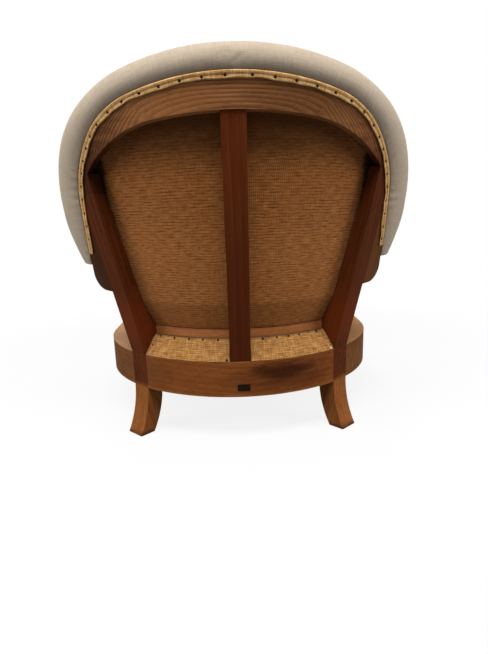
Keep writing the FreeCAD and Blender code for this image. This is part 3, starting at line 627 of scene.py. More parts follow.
@dataclass(frozen=True)
class Metal:
    """Dull dark metal with a worn bloom."""

    name: str
    dark: Colour
    bright: Colour
    scale: float
    metallic: float
    roughness: Pair = (0.75, 0.5)
    specular: float = 0.1
    bloom: float = 0.3

    def material(self, effects: Effects) -> Material:
        """Builds the metal's material from the shared node groups.

        Args:
            effects: shared node groups.

        Returns:
            The material.
        """
        finish = Finish(self.name)
        wire = finish.wire
        cloud = wire.noise(finish.place, self.scale, detail=4.0, rough=0.65)
        whole = wire.joined(0.0, 0.0, 0.0)
        bloom = wire.group(effects.spot, vector=whole, place=finish.place, ragged=2.5, soft=0.42)
        colour = wire.ramp(cloud, ((0.35, self.dark), (0.75, self.bright)))
        share = wire.math("MULTIPLY", bloom.outputs["Mask"], self.bloom)
        colour = wire.mix(share, colour, linear(self.dark))
        finish.shine(self.specular, metallic=self.metallic)
        rough = wire.spread(cloud, 0.3, 0.7, *self.roughness)
        return finish.done(colour, rough, cloud, depth=0.15 * MILLI, strength=0.4)


@dataclass(frozen=True)
class Station:
    """Place on the arched outline of the back, seen from behind."""

    x: float
    z: float
    turn: float
    along: float

    def moved(self, out: float) -> Pair:
        """Place at a distance outside the outline."""
        return self.x + math.cos(self.turn) * out, self.z + math.sin(self.turn) * out


@dataclass(frozen=True)
class BackForm:
    """Leaning round back: a cone about an upright axis, cut to an arched outline."""

    head_y: float = 0.22637
    ring: float = 0.325
    rail_top: float = 0.1825
    slope: float = 0.26311
    arch_top: float = 0.689
    arch_half: float = 0.303
    crown_radius: float = 0.645
    shoulder_radius: float = 0.179
    flare: float = math.radians(4.0)
    side_steps: int = 60
    arc_steps: int = 120

    def radius(self, z: float) -> float:
        """Radius of the back's outer face at a height."""
        return self.ring + (z - self.rail_top) * self.slope

    @property
    def shoulder_x(self) -> float:
        """Distance of a shoulder's centre from the middle."""
        return self.arch_half - self.shoulder_radius

    @property
    def crown_z(self) -> float:
        """Height of the crown's centre."""
        return self.arch_top - self.crown_radius

    @property
    def shoulder_z(self) -> float:
        """Height of the shoulders' centres."""
        away = self.crown_radius - self.shoulder_radius
        return self.crown_z + math.sqrt(away ** 2 - self.shoulder_x ** 2)

    @property
    def lean_in(self) -> float:
        """Angle at which the shoulders meet the crown."""
        return math.pi / 2 - math.asin(self.shoulder_x / (self.crown_radius - self.shoulder_radius))

    def half_width(self, z: float, inset: float) -> float:
        """Half width of the outline at a height, drawn in by an inset.

        Args:
            z: the height.
            inset: the inset.

        Returns:
            The half width.
        """
        shoulder, crown = self.shoulder_radius - inset, self.crown_radius - inset
        side_z = self.shoulder_z + shoulder * math.sin(self.flare)
        if z <= side_z:
            return self.shoulder_x + shoulder * math.cos(self.flare) + (side_z - z) * math.tan(self.flare)
        if z <= self.crown_z + crown * math.sin(self.lean_in):
            return self.shoulder_x + math.sqrt(max(shoulder ** 2 - (z - self.shoulder_z) ** 2, 0.0))
        return math.sqrt(max(crown ** 2 - (z - self.crown_z) ** 2, 0.0))

    def height(self, x: float) -> float:
        """Height of the outline at a distance from the middle.

        Args:
            x: distance from the middle.

        Returns:
            The height.
        """
        x = abs(x)
        if x <= self.crown_radius * math.cos(self.lean_in):
            return self.crown_z + math.sqrt(self.crown_radius ** 2 - x * x)
        return self.shoulder_z + math.sqrt(max(self.shoulder_radius ** 2 - (x - self.shoulder_x) ** 2, 0.0))

    def round_face(self, x: float, radius: float) -> float:
        """Place along the seat, behind the axis, of an upright round face."""
        return self.head_y + math.sqrt(max(radius * radius - x * x, 0.0))

    def on_face(self, x: float, z: float, proud: float = 0.0) -> Vector:
        """Point on the rear face of the back, standing proud of it."""
        return Vector((x, self.round_face(x, self.radius(z) + proud), z))

    def half_line(self, low: float) -> list[Triple]:
        """Closely spaced points of the left half of the outline, from its low end to the crown.

        Args:
            low: height of the low end.

        Returns:
            Half width, height and outward turn of each point.
        """
        side_z = self.shoulder_z + self.shoulder_radius * math.sin(self.flare)
        line = []
        for step in range(self.side_steps):
            z = between(low, side_z, step / self.side_steps)
            line.append((self.half_width(z, 0.0), z, self.flare))
        shoulder = (self.shoulder_x, self.shoulder_z, self.shoulder_radius, self.flare, self.lean_in)
        crown = (0.0, self.crown_z, self.crown_radius, self.lean_in, math.pi / 2)
        for (x, z, radius, first, last), count in ((shoulder, self.arc_steps), (crown, self.arc_steps + 1)):
            for step in range(count):
                turn = between(first, last, step / self.arc_steps)
                line.append((x + radius * math.cos(turn), z + radius * math.sin(turn), turn))
        return line

    def stations(self, low: float, count: int) -> list[Station]:
        """Evenly spaced places along the whole outline, from the left end over the crown to the right.

        Args:
            low: height of both ends.
            count: how many places.

        Returns:
            The places.
        """
        half = self.half_line(low)
        line = half + [(-x, z, math.pi - turn) for x, z, turn in reversed(half[:-1])]
        points = [self.on_face(x, z) for x, z, _ in line]
        runs = [0.0]
        for first, second in zip(points, points[1:]):
            runs.append(runs[-1] + (second - first).length)
        found = []
        index = 0
        for step in range(count):
            goal = runs[-1] * step / (count - 1)
            while index < len(runs) - 2 and runs[index + 1] < goal:
                index += 1
            share = (goal - runs[index]) / (runs[index + 1] - runs[index])
            x, z, turn = (between(a, b, share) for a, b in zip(line[index], line[index + 1]))
            found.append(Station(x, z, turn, goal))
        return found

    def round_point(self, angle: float, radius: float, z: float) -> Vector:
        """Point about the axis of the back, at an angle from straight behind towards the left."""
        return Vector((radius * math.sin(angle), self.head_y + radius * math.cos(angle), z))


BACK = BackForm()


def deselect() -> None:
    """Clears the selection, so that operators act on new pieces only."""
    bpy.ops.object.select_all(action="DESELECT")


def choose(piece: Piece) -> None:
    """Makes one piece the only selected and active object.

    Args:
        piece: the piece.
    """
    deselect()
    piece.select_set(True)
    bpy.context.view_layer.objects.active = piece


def link(name: str, data: bpy.types.ID) -> Piece:
    """Links a mesh, a curve, a lamp or a camera into the scene.

    Args:
        name: name of the object.
        data: what it shows.

    Returns:
        The object.
    """
    piece = bpy.data.objects.new(name, data)
    bpy.context.scene.collection.objects.link(piece)
    return piece


def shape_piece(name: str, shape: bmesh.types.BMesh) -> Piece:
    """Turns a finished shape into a piece of the scene.

    Args:
        name: name of the piece.
        shape: the shape, which is freed.

    Returns:
        The piece.
    """
    mesh = bpy.data.meshes.new(name)
    shape.to_mesh(mesh)
    shape.free()
    return link(name, mesh)


def add_grid(shape: bmesh.types.BMesh, rows: Rows, along: Sequence[float], across: Sequence[float],
             ring: bool = False) -> list[list[bmesh.types.BMVert]]:
    """Adds four-sided faces between rows of points to a shape, with their threads mapped in metres.

    Args:
        shape: the shape in the making.
        rows: equal rows of points.
        along: distance of each row along the cloth.
        across: distance of each point across the cloth, with one more for a closed ring.
        ring: whether each row closes on itself.

    Returns:
        The rows of new points.
    """
    layers = shape.loops.layers.uv
    threads = layers.get(MAP_NAME) or layers.new(MAP_NAME)
    dots = [[shape.verts.new(point) for point in row] for row in rows]
    width = len(rows[0])
    for i in range(len(rows) - 1):
        for j in range(width if ring else width - 1):
            k = (j + 1) % width
            face = shape.faces.new((dots[i][j], dots[i][k], dots[i + 1][k], dots[i + 1][j]))
            spots = ((i, j), (i, j + 1), (i + 1, j + 1), (i + 1, j))
            for loop, (row, column) in zip(face.loops, spots):
                loop[threads].uv = (along[row], across[column])
    return dots


def grid_piece(name: str, rows: Rows, along: Sequence[float], across: Sequence[float],
               ring: bool = False) -> Piece:
    """Makes a piece of rows of points as add_grid does, and closes the ends of a ring with fans.

    Args:
        name: name of the piece.
        rows: equal rows of points.
        along: distance of each row along the cloth.
        across: distance of each point across the cloth, with one more for a ring.
        ring: whether each row closes on itself.

    Returns:
        The piece.
    """
    shape = bmesh.new()
    dots = add_grid(shape, rows, along, across, ring)
    width = len(rows[0])
    if ring:
        for row in (dots[0], dots[-1]):
            middle = shape.verts.new(sum((dot.co for dot in row), Vector()) / width)
            for j in range(width):
                shape.faces.new((row[j], row[(j + 1) % width], middle))
    bmesh.ops.remove_doubles(shape, verts=shape.verts, dist=1e-6)
    bmesh.ops.recalc_face_normals(shape, faces=shape.faces)
    piece = shape_piece(name, shape)
    piece.data.shade_smooth()
    return piece


def face_towards(piece: Piece, outside: Vector) -> None:
    """Turns an open sheet's faces so that most of them look towards a point.

    Args:
        piece: the sheet.
        outside: the point.
    """
    mesh = piece.data
    score = sum((outside - face.center).dot(face.normal) * face.area for face in mesh.polygons)
    if score < 0:
        mesh.flip_normals()


def coat(piece: Piece, material: Material) -> None:
    """Makes a material the only one of a piece.

    Args:
        piece: the piece.
        material: the material.
    """
    piece.data.materials.clear()
    piece.data.materials.append(material)
    LOG.info("%s: %s, %d faces", piece.name, material.name, len(piece.data.polygons))


def finish_piece(piece: Piece, material: Material, slot: Slot, *nodes: str) -> None:
    """Gives a piece its material and its body, and hides the CAD nodes that it stands for.

    Args:
        piece: the piece.
        material: its material.
        slot: its slot; not used.
        nodes: names of the CAD nodes.
    """
    coat(piece, material)
    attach(piece, BODY)
    if nodes:
        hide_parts(*nodes)


def add_modifier(piece: Piece, kind: str, **settings: object) -> bpy.types.Modifier:
    """Adds a modifier and sets its properties.

    Args:
        piece: the piece.
        kind: type of the modifier.
        settings: its properties.

    Returns:
        The modifier.
    """
    modifier = piece.modifiers.new(kind.lower(), kind)
    for name, value in settings.items():
        setattr(modifier, name, value)
    return modifier


def soften(piece: Piece) -> None:
    """Rounds a soft piece off with one level of subdivision."""
    add_modifier(piece, "SUBSURF", levels=1, render_levels=1)


def thicken(piece: Piece, outside: Vector, thick: float) -> float:
    """Thickens an open sheet.

    Args:
        piece: the sheet.
        outside: point that its face looks towards, away from the new side.
        thick: thickness.

    Returns:
        The area of one side.
    """
    face_towards(piece, outside)
    add_modifier(piece, "SOLIDIFY", thickness=thick, offset=-1.0)
    return sum(face.area for face in piece.data.polygons)


@dataclass(frozen=True)
class Filling:
    """Stuffing that swells a closed cover, by cloth simulation."""

    cap: float
    pressure: float = 3.0
    frames: int = 20
    quality: int = 4
    stiffness: float = 12.0
    bending: float = 0.6

    def swell(self, piece: Piece, held: list[int]) -> None:
        """Fills the cover and keeps the shape that it takes.

        Args:
            piece: the closed cover.
            held: points that stay where they are.
        """
        pins = piece.vertex_groups.new(name="held")
        pins.add(held, 1.0, "REPLACE")
        rest = [dot.co.copy() for dot in piece.data.vertices]
        cloth = add_modifier(piece, "CLOTH")
        cloth.settings.vertex_group_mass = pins.name
        cloth.settings.quality = self.quality
        cloth.settings.tension_stiffness = self.stiffness
        cloth.settings.compression_stiffness = self.stiffness
        cloth.settings.shear_stiffness = self.stiffness / 2
        cloth.settings.bending_stiffness = self.bending
        cloth.settings.use_pressure = True
        cloth.settings.uniform_pressure_force = self.pressure
        cloth.settings.effector_weights.gravity = 0.0
        cloth.collision_settings.use_collision = False
        scene = bpy.context.scene
        for step in range(1, self.frames + 1):
            scene.frame_set(step)
        choose(piece)
        bpy.ops.object.modifier_apply(modifier=cloth.name)
        for dot, start in zip(piece.data.vertices, rest):
            move = dot.co - start
            if move.length > self.cap:
                dot.co = start + move * (self.cap / move.length)
        scene.frame_set(1)
        piece.vertex_groups.clear()


def held_points(count: int, width: int, free: range) -> list[int]:
    """Points of equal rows that stay where they are: all of both end rows, and all but the free columns."""
    ends = (0, count - 1)
    return [i * width + j for i in range(count) for j in range(width) if i in ends or j not in free]


def arc_through(first: Pair, middle: Pair, last: Pair, count: int) -> list[Pair]:
    """Points of the arc through three points of a plane, without the last.

    Args:
        first: where the arc starts.
        middle: a point on it.
        last: where it ends.
        count: how many points.

    Returns:
        The points.
    """
    (ax, ay), (bx, by), (cx, cy) = first, middle, last
    scale = 2 * (ax * (by - cy) + bx * (cy - ay) + cx * (ay - by))
    squares = [x * x + y * y for x, y in (first, middle, last)]
    x = (squares[0] * (by - cy) + squares[1] * (cy - ay) + squares[2] * (ay - by)) / scale
    y = (squares[0] * (cx - bx) + squares[1] * (ax - cx) + squares[2] * (bx - ax)) / scale
    start, through, stop = (math.atan2(py - y, px - x) for px, py in (first, middle, last))
    sweep = (stop - start) % FULL_TURN
    if (through - start) % FULL_TURN > sweep:
        sweep -= FULL_TURN
    radius = math.hypot(ax - x, ay - y)
    turns = [start + sweep * step / count for step in range(count)]
    return [(x + radius * math.cos(turn), y + radius * math.sin(turn)) for turn in turns]


@dataclass
class EdgeRoll:
    """Thick linen roll round the outline of the back, pulled down under the tack strip."""

    rise: float = 0.0445
    behind: float = 0.0060
    front: float = 0.077
    rear_place: float = 0.5
    top_place: float = 0.3
    swell_place: Pair = (0.6, 0.85)
    wrap: float = 0.5
    wrap_limit: float = 0.97
    low: float = 0.376
    end_full: float = 0.30
    end_heights: Pair = (-0.012, 0.100)
    end_front: float = 0.75
    end_front_height: float = 0.03
    side_growth: float = 0.19
    side_turns: Pair = (0.40, 0.95)
    count: int = 280
    arc_points: int = 20
    base_points: int = 8
    gap: float = 0.0006
    cap: float = 0.005
    pressure: float = 4.0
    pucker_pitch: float = 0.0179
    pucker_depth: float = 0.0009
    pucker_reach: float = 0.022
    pucker_fade: float = 4.0
    pucker_end: float = 2.0
    pucker_even: float = 0.55
    pucker_rates: Pair = (43.0, 19.0)
    pucker_stray: float = 1.3
    crown_pucker: float = 0.25
    crown_heights: Pair = (0.64, 0.56)

    def fullness(self, z: float) -> float:
        """Share of its full section that the roll has at a height."""
        low, high = (self.low + height for height in self.end_heights)
        return between(self.end_full, 1.0, math.sqrt(smooth(z, low, high)))

    def front_depth(self, z: float) -> float:
        """Share of its full depth in front of the back's face that the roll has at a height."""
        return between(self.end_front, 1.0, smooth(z, self.low, self.low + self.end_front_height))

    def at(self, station: Station, rise: float, depth: float) -> Vector:
        """Point of the roll outside the outline, at a rise from it and a depth behind the back's face.

        Args:
            station: place along the outline.
            rise: the rise.
            depth: the depth, negative in front.

        Returns:
            The point.
        """
        full = self.fullness(station.z)
        growth = self.side_growth * smooth(abs(math.cos(station.turn)), *self.side_turns)
        x, z = station.moved(self.gap + rise * full * (1 + growth))
        start = BACK.on_face(station.x, station.z).y
        limit = self.wrap_limit * BACK.radius(z)
        follow = (BACK.on_face(max(min(x, limit), -limit), z).y - start) * self.wrap
        share = full if depth > 0 else self.front_depth(station.z)
        return Vector((x, start + follow + depth * share, z))

    def section(self) -> list[Pair]:
        """Rise and depth of the points round a full section, from the tacked edge over the top and back.

        Returns:
            The points.
        """
        rear = (self.rear_place * self.rise, self.behind)
        top = (self.rise, -self.top_place * self.front)
        swell = (self.swell_place[0] * self.rise, -self.swell_place[1] * self.front)
        points = arc_through((0.0, 0.0), rear, top, self.arc_points)
        points += arc_through(top, swell, (0.0, -self.front), self.arc_points)
        points += [(0.0, self.front * (step / self.base_points - 1)) for step in range(self.base_points)]
        return points

    def build(self, linen: Material) -> None:
        """Makes the roll of a material.

        Args:
            linen: the material.
        """
        section = self.section()
        stations = BACK.stations(self.low, self.count)
        rows = [[self.at(station, *point) for point in section] for station in stations]
        across = [0.0]
        for first, second in zip(section, section[1:] + section[:1]):
            across.append(across[-1] + math.dist(first, second))
        along = [station.along for station in stations]
        piece = grid_piece("edge_roll_linen", rows, along, across, ring=True)
        width = len(section)
        held = held_points(self.count, width, range(1, 2 * self.arc_points))
        Filling(self.cap, self.pressure).swell(piece, held)
        self.pucker(piece.data, stations, across, width)
        soften(piece)
        finish_piece(piece, linen, Slot.LINEN, "edge_roll")

    def pucker(self, mesh: Mesh, stations: list[Station], across: list[float], width: int) -> None:
        """Draws the linen in towards each tack, in short folds that fade over the roll.

        Args:
            mesh: mesh of the roll.
            stations: places of its rows.
            across: distance of each point across the linen.
            width: points in a row.
        """
        normals = [dot.normal.copy() for dot in mesh.vertices]
        quick_rate, slow_rate = self.pucker_rates
        for i, station in enumerate(stations):
            wave = math.cos(FULL_TURN * station.along / self.pucker_pitch)
            stray = self.pucker_stray * math.sin(station.along * slow_rate)
            uneven = between(math.sin(station.along * quick_rate + stray), 1.0, self.pucker_even)
            uneven *= between(self.crown_pucker, 1.0, smooth(station.z, *self.crown_heights))
            for j in range(1, self.arc_points):
                near = across[j] / self.pucker_reach
                far = near * self.pucker_fade
                fade = far * math.exp(1 - far) if near < self.pucker_end else 0.0
                index = i * width + j
                mesh.vertices[index].co += normals[index] * (wave * uneven * fade * self.pucker_depth)


@dataclass(frozen=True)
class HessianShape:
    """Section of the hessian across the inside of the back's frame."""

    low: float = 0.2433
    bend: float = 0.300
    high: float = 0.652
    low_radius: float = 0.289
    bend_radius: float = 0.3193
    high_radius: float = 0.4228

    def radius(self, z: float) -> float:
        """Radius of the hessian's rear face at a height.

        Args:
            z: the height.

        Returns:
            The radius.
        """
        if z < self.bend:
            return between(self.low_radius, self.bend_radius, (z - self.low) / (self.bend - self.low))
        return between(self.bend_radius, self.high_radius, (z - self.bend) / (self.high - self.bend))


HESSIAN_SHAPE = HessianShape()


@dataclass
class InsideBack:
    """Stuffed inside of the back, in linen, hollowed from the roll's lip down to the seat."""

    low: float = 0.244
    low_half: float = 0.205
    low_edge: float = 0.010
    inset: float = 0.0012
    rear_gap: float = 0.0030
    side_gap: float = 0.027
    side_turn: Pair = (math.radians(49), math.radians(53))
    side_heights: Pair = (0.50, 0.46)
    mid_z: float = 0.46
    mid_radius: float = 0.290
    rate: float = 0.3275
    bend: float = 0.5375
    hollow: float = 2.4
    brow: float = 0.060
    least: float = 0.005
    top_half: float = 0.030
    columns: int = 41
    low_rows: int = 16
    skip: int = 5
    cap: float = 0.006

    def lines(self, roll: EdgeRoll) -> list[Pair]:
        """Half width and height of the pad's rows, from the seat to the crown.

        Args:
            roll: the edge roll.

        Returns:
            The half widths and heights.
        """
        side = []
        for x, z, turn in BACK.half_line(roll.low)[::self.skip]:
            if x > self.top_half:
                side.append((x - self.inset * math.cos(turn), z - self.inset * math.sin(turn)))
        half, high = side[0]
        rows = []
        for step in range(self.low_rows):
            share = step / self.low_rows
            wide = between(self.low_half, half, smooth(share, 0.0, 1.0))
            rows.append((wide, between(self.low, high, share)))
        return rows + side

    def rear(self, x: float, z: float) -> float:
        """Place of the pad's rear, in front of the hessian, the stiles and the wing rails.

        Args:
            x: distance from the middle.
            z: the height.

        Returns:
            The place along the seat.
        """
        plain = HESSIAN_SHAPE.radius(z) - self.rear_gap
        side = BACK.radius(z) - self.side_gap
        turn = math.asin(min(abs(x) / side, 1.0))
        share = smooth(turn, *self.side_turn) * smooth(z, *self.side_heights)
        return BACK.round_face(x, between(plain, side, share))

    def front(self, x: float, z: float, half: float, roll: EdgeRoll) -> float:
        """Place of the pad's front, which meets the roll's lip at the outline and is hollow between.

        Args:
            x: distance from the middle.
            z: the height.
            half: half width of the row.
            roll: the edge roll.

        Returns:
            The place along the seat.
        """
        depth = roll.front * roll.front_depth(z)
        beside_roll = z >= roll.low
        edge = BACK.on_face(half, z).y - depth if beside_roll else self.rear(half, z) - self.low_edge
        above = z - self.mid_z
        middle = BACK.head_y + self.mid_radius + above * (self.rate + above * self.bend)
        place = between(edge, middle, max(1 - (x / half) ** 2, 0.0) ** (self.hollow / 2))
        if beside_roll:
            place = between(BACK.on_face(x, z).y - depth, place, smooth(BACK.height(x) - z, 0.0, self.brow))
        return min(place, self.rear(x, z) - self.least)

    def build(self, linen: Material, roll: EdgeRoll) -> None:
        """Makes the inside back of a material, against the roll.

        Args:
            linen: the material.
            roll: the edge roll.
        """
        turns = [math.pi / 2 * (2 * step / (self.columns - 1) - 1) for step in range(self.columns)]
        rows = []
        for half, z in self.lines(roll):
            places = [half * math.sin(turn) for turn in turns]
            front = [Vector((x, self.front(x, z, half, roll), z)) for x in places]
            rows.append(front + [Vector((x, self.rear(x, z), z)) for x in reversed(places)])
        width = 2 * self.columns
        piece = grid_piece("inside_back_linen", rows, range(len(rows)), range(width + 1), ring=True)
        Filling(self.cap).swell(piece, held_points(len(rows), width, range(1, self.columns - 1)))
        soften(piece)
        finish_piece(piece, linen, Slot.LINEN, "inside_back_pad")


POST_TURN = math.radians(43.15)
GUSSET_LOW = Vector((0.3250, 0.1830))
GUSSET_HIGH = Vector((0.2930, 0.2262))
GUSSET_TACKS = ((8.7, 0.9), (15.0, 0.9), (21.0, 0.9), (27.9, 0.9), (35.1, 0.9), (37.3, 0.46), (4.9, 0.08),
                (-9.3, 0.9), (-15.1, 0.9), (-20.2, 0.9), (-25.2, 0.9), (-29.7, 0.9), (-34.2, 0.9))
GUSSET_PINS = ((-37.7, 0.07),)
STRIP_PROFILE = ((0.0, 1.8), (0.06, 3.0), (0.22, 3.2), (0.42, 2.2), (0.55, 1.8), (0.75, 2.6), (0.92, 2.2),
                 (1.0, 0.4))
STRIP_LOW = 0.402
STRIP_WIDTH = 0.0118
STRIP_LAP = 0.0028
STRIP_LAP_HEIGHTS = (0.58, 0.64)
TACK_FIRST = 0.021
TACK_SHIFT = 0.010
TACK_PITCH = 0.0358
SIDE_PITCH = 0.0290
SIDE_START = 0.270


def strip_lap(z: float) -> float:
    """How far the tack strip laps over the outline at a height."""
    return STRIP_LAP * smooth(z, *STRIP_LAP_HEIGHTS)


def tack_offsets(half: float) -> list[float]:
    """Distances of the tacks from the middle of the strip, closer together down the sides.

    Args:
        half: half the length of the strip.

    Returns:
        The distances on one side.
    """
    found = [TACK_FIRST]
    while True:
        pitch = TACK_PITCH if found[-1] < SIDE_START else SIDE_PITCH
        if found[-1] + pitch > half - TACK_SHIFT:
            return found
        found.append(found[-1] + pitch)


@dataclass
class Sheet:
    """Thin cloth on the back of the frame, with its thickness and what its edges add to the cloth."""

    thick: float = 0.0009
    spare: float = 1.02

    def lay(self, piece: Piece, length: float, hold: Hold, *rests_on: str) -> None:
        """Thickens an open sheet.

        Args:
            piece: the sheet.
            length: length that it is cut from; not used.
            hold: how it is held; not used.
            rests_on: names of the nodes that it lies on; not used.
        """
        area = thicken(piece, BEHIND, self.thick)


@dataclass
class BackHessian(Sheet):
    """Hessian across the back, swelling a little between the stiles and the splat."""

    rows: int = 84
    columns: int = 150
    half_angle: float = math.radians(47.0)
    trim: float = 0.0127
    sunk: float = 0.0002
    billow: float = 0.0022
    splat_turns: Pair = (0.07, 0.30)
    stile_turns: Pair = (0.63, 0.42)
    low_heights: Pair = (0.26, 0.36)
    high_heights: Pair = (0.62, 0.50)
    flat_length: float = 0.62

    def swell(self, side: float, z: float) -> float:
        """How far the hessian swells at an angle and a height."""
        across = smooth(side, *self.splat_turns) * smooth(side, *self.stile_turns)
        return self.billow * across * smooth(z, *self.low_heights) * smooth(z, *self.high_heights)

    def line(self, z: float, shares: list[float]) -> list[Vector]:
        """Points across the hessian at a height.

        Args:
            z: the height.
            shares: shares of the way across.

        Returns:
            The points.
        """
        radius = HESSIAN_SHAPE.radius(z)
        half = BACK.half_width(z, self.trim)
        widest = min(self.half_angle, math.asin(min(half / radius, 1.0)))
        angles = [widest * (1 - 2 * share) for share in shares]
        return [BACK.round_point(turn, radius - self.sunk + self.swell(abs(turn), z), z) for turn in angles]

    def build(self, hessian: Material) -> None:
        """Makes the hessian of a material.

        Args:
            hessian: the material.
        """
        shape = HESSIAN_SHAPE
        shares = [column / (self.columns - 1) for column in range(self.columns)]
        heights = [between(shape.low, shape.high, row / (self.rows - 1)) for row in range(self.rows)]
        lines = [self.line(z, shares) for z in heights]
        middle = self.columns // 2
        reaches = [0.0]
        for first, second in zip(lines, lines[1:]):
            reaches.append(reaches[-1] + (second[middle] - first[middle]).length)
        wide = [shape.bend_radius * 2 * self.half_angle * share for share in shares]
        piece = grid_piece("back_hessian_sheet", list(zip(*lines)), wide, reaches)
        self.lay(piece, self.flat_length, Hold.STRETCHED, "crest_rail", "lower_back_rail")
        finish_piece(piece, hessian, Slot.HESSIAN, "back_hessian")


@dataclass
class Gusset(Sheet):
    """Jute between the rear rail and the lower back rail, on one side of the splat."""

    side: int = 1
    columns: int = 110
    rows: int = 22
    splat_half: float = 0.0216
    stile_half: float = 0.0236
    ring: float = 0.31
    pull: float = 0.0011
    pull_start: float = 0.010
    pull_pitch: float = 0.0305
    ripple: float = 0.0006
    ripple_rate: float = 150.0
    ripple_slant: float = 0.5
    belly: float = 0.0016
    clear: float = 0.0004
    least: float = 0.0002
    map_run: float = 0.31 * 0.6
    map_rise: float = 0.054
    flat_length: float = 0.2

    def proud(self, arc: float, row: int) -> float:
        """How far the jute stands off its plain face, at a distance along a row.

        Args:
            arc: distance along the row.
            row: number of the row.

        Returns:
            The distance.
        """
        share = row / (self.rows - 1)
        pull = self.pull * math.cos(FULL_TURN * (arc - self.pull_start) / self.pull_pitch) * share * share
        ripple = self.ripple * math.sin(arc * self.ripple_rate + row * self.ripple_slant)
        return max(pull + ripple + self.belly * math.sin(math.pi * share) + self.clear, self.least)

    def line(self, row: int) -> list[Vector]:
        """Points of a row, from the splat to the stile.

        Args:
            row: number of the row.

        Returns:
            The points.
        """
        radius, z = GUSSET_LOW.lerp(GUSSET_HIGH, row / (self.rows - 1))
        first = math.asin(self.splat_half / radius)
        last = POST_TURN - math.asin(self.stile_half / radius)
        turns = [between(first, last, column / (self.columns - 1)) for column in range(self.columns)]
        radii = [radius + self.proud(turn * self.ring, row) for turn in turns]
        return [BACK.round_point(self.side * turn, reach, z) for turn, reach in zip(turns, radii)]

    def build(self, jute: Material) -> None:
        """Makes the gusset of a material.

        Args:
            jute: the material.
        """
        lines = [self.line(row) for row in range(self.rows)]
        run = [self.map_run * column / (self.columns - 1) for column in range(self.columns)]
        rise = [self.map_rise * row / (self.rows - 1) for row in range(self.rows)]
        name = "rear_gusset_left" if self.side > 0 else "rear_gusset_right"
        piece = grid_piece(name, list(zip(*lines)), run, rise)
        self.lay(piece, self.flat_length, Hold.STRETCHED, "rear_seat_rail", "lower_back_rail")
        finish_piece(piece, jute, Slot.JUTE, "rear_gusset")


@dataclass
class TackStrip(Sheet):
    """Folded strip over the linen's edge, dimpled at its tacks."""

    count: int = 420
    clear: float = 0.0006
    least: float = 0.2
    dimple: float = 0.9
    dimple_reach: float = 0.005
    dimple_place: float = 0.5
    dimple_share: float = 0.35
    sways: tuple[Pair, ...] = ((0.0007, 61.0), (0.0004, 143.0))

    def line(self, station: Station, near: float) -> list[Vector]:
        """Points across the strip at a place that is more or less near to a tack.

        Args:
            station: place along the outline.
            near: 1 at a tack, down to 0 away from it.

        Returns:
            The points.
        """
        width = STRIP_WIDTH + sum(size * math.sin(station.along * rate) for size, rate in self.sways)
        line = []
        for place, proud in STRIP_PROFILE:
            x, z = station.moved(strip_lap(station.z) - place * width)
            dip = self.dimple * near * math.exp(-((place - self.dimple_place) / self.dimple_share) ** 2)
            line.append(BACK.on_face(x, z, self.clear + MILLI * max(proud - dip, self.least)))
        return line

    def build(self, strip: Material) -> None:
        """Makes the strip of a material.

        Args:
            strip: the material.
        """
        stations = BACK.stations(STRIP_LOW, self.count)
        length = stations[-1].along
        offsets = tack_offsets(length / 2)
        rows = []
        for station in stations:
            away = abs(station.along - length / 2 - TACK_SHIFT)
            nearest = min(abs(away - offset) for offset in offsets)
            rows.append(self.line(station, math.exp(-((nearest / self.dimple_reach) ** 2))))
        across = [STRIP_WIDTH * place for place, _ in STRIP_PROFILE]
        piece = grid_piece("tack_strip_fold", rows, [station.along for station in stations], across)
        self.lay(piece, length, Hold.FOLDED, "crest_rail")
        finish_piece(piece, strip, Slot.JUTE, "tack_strip")


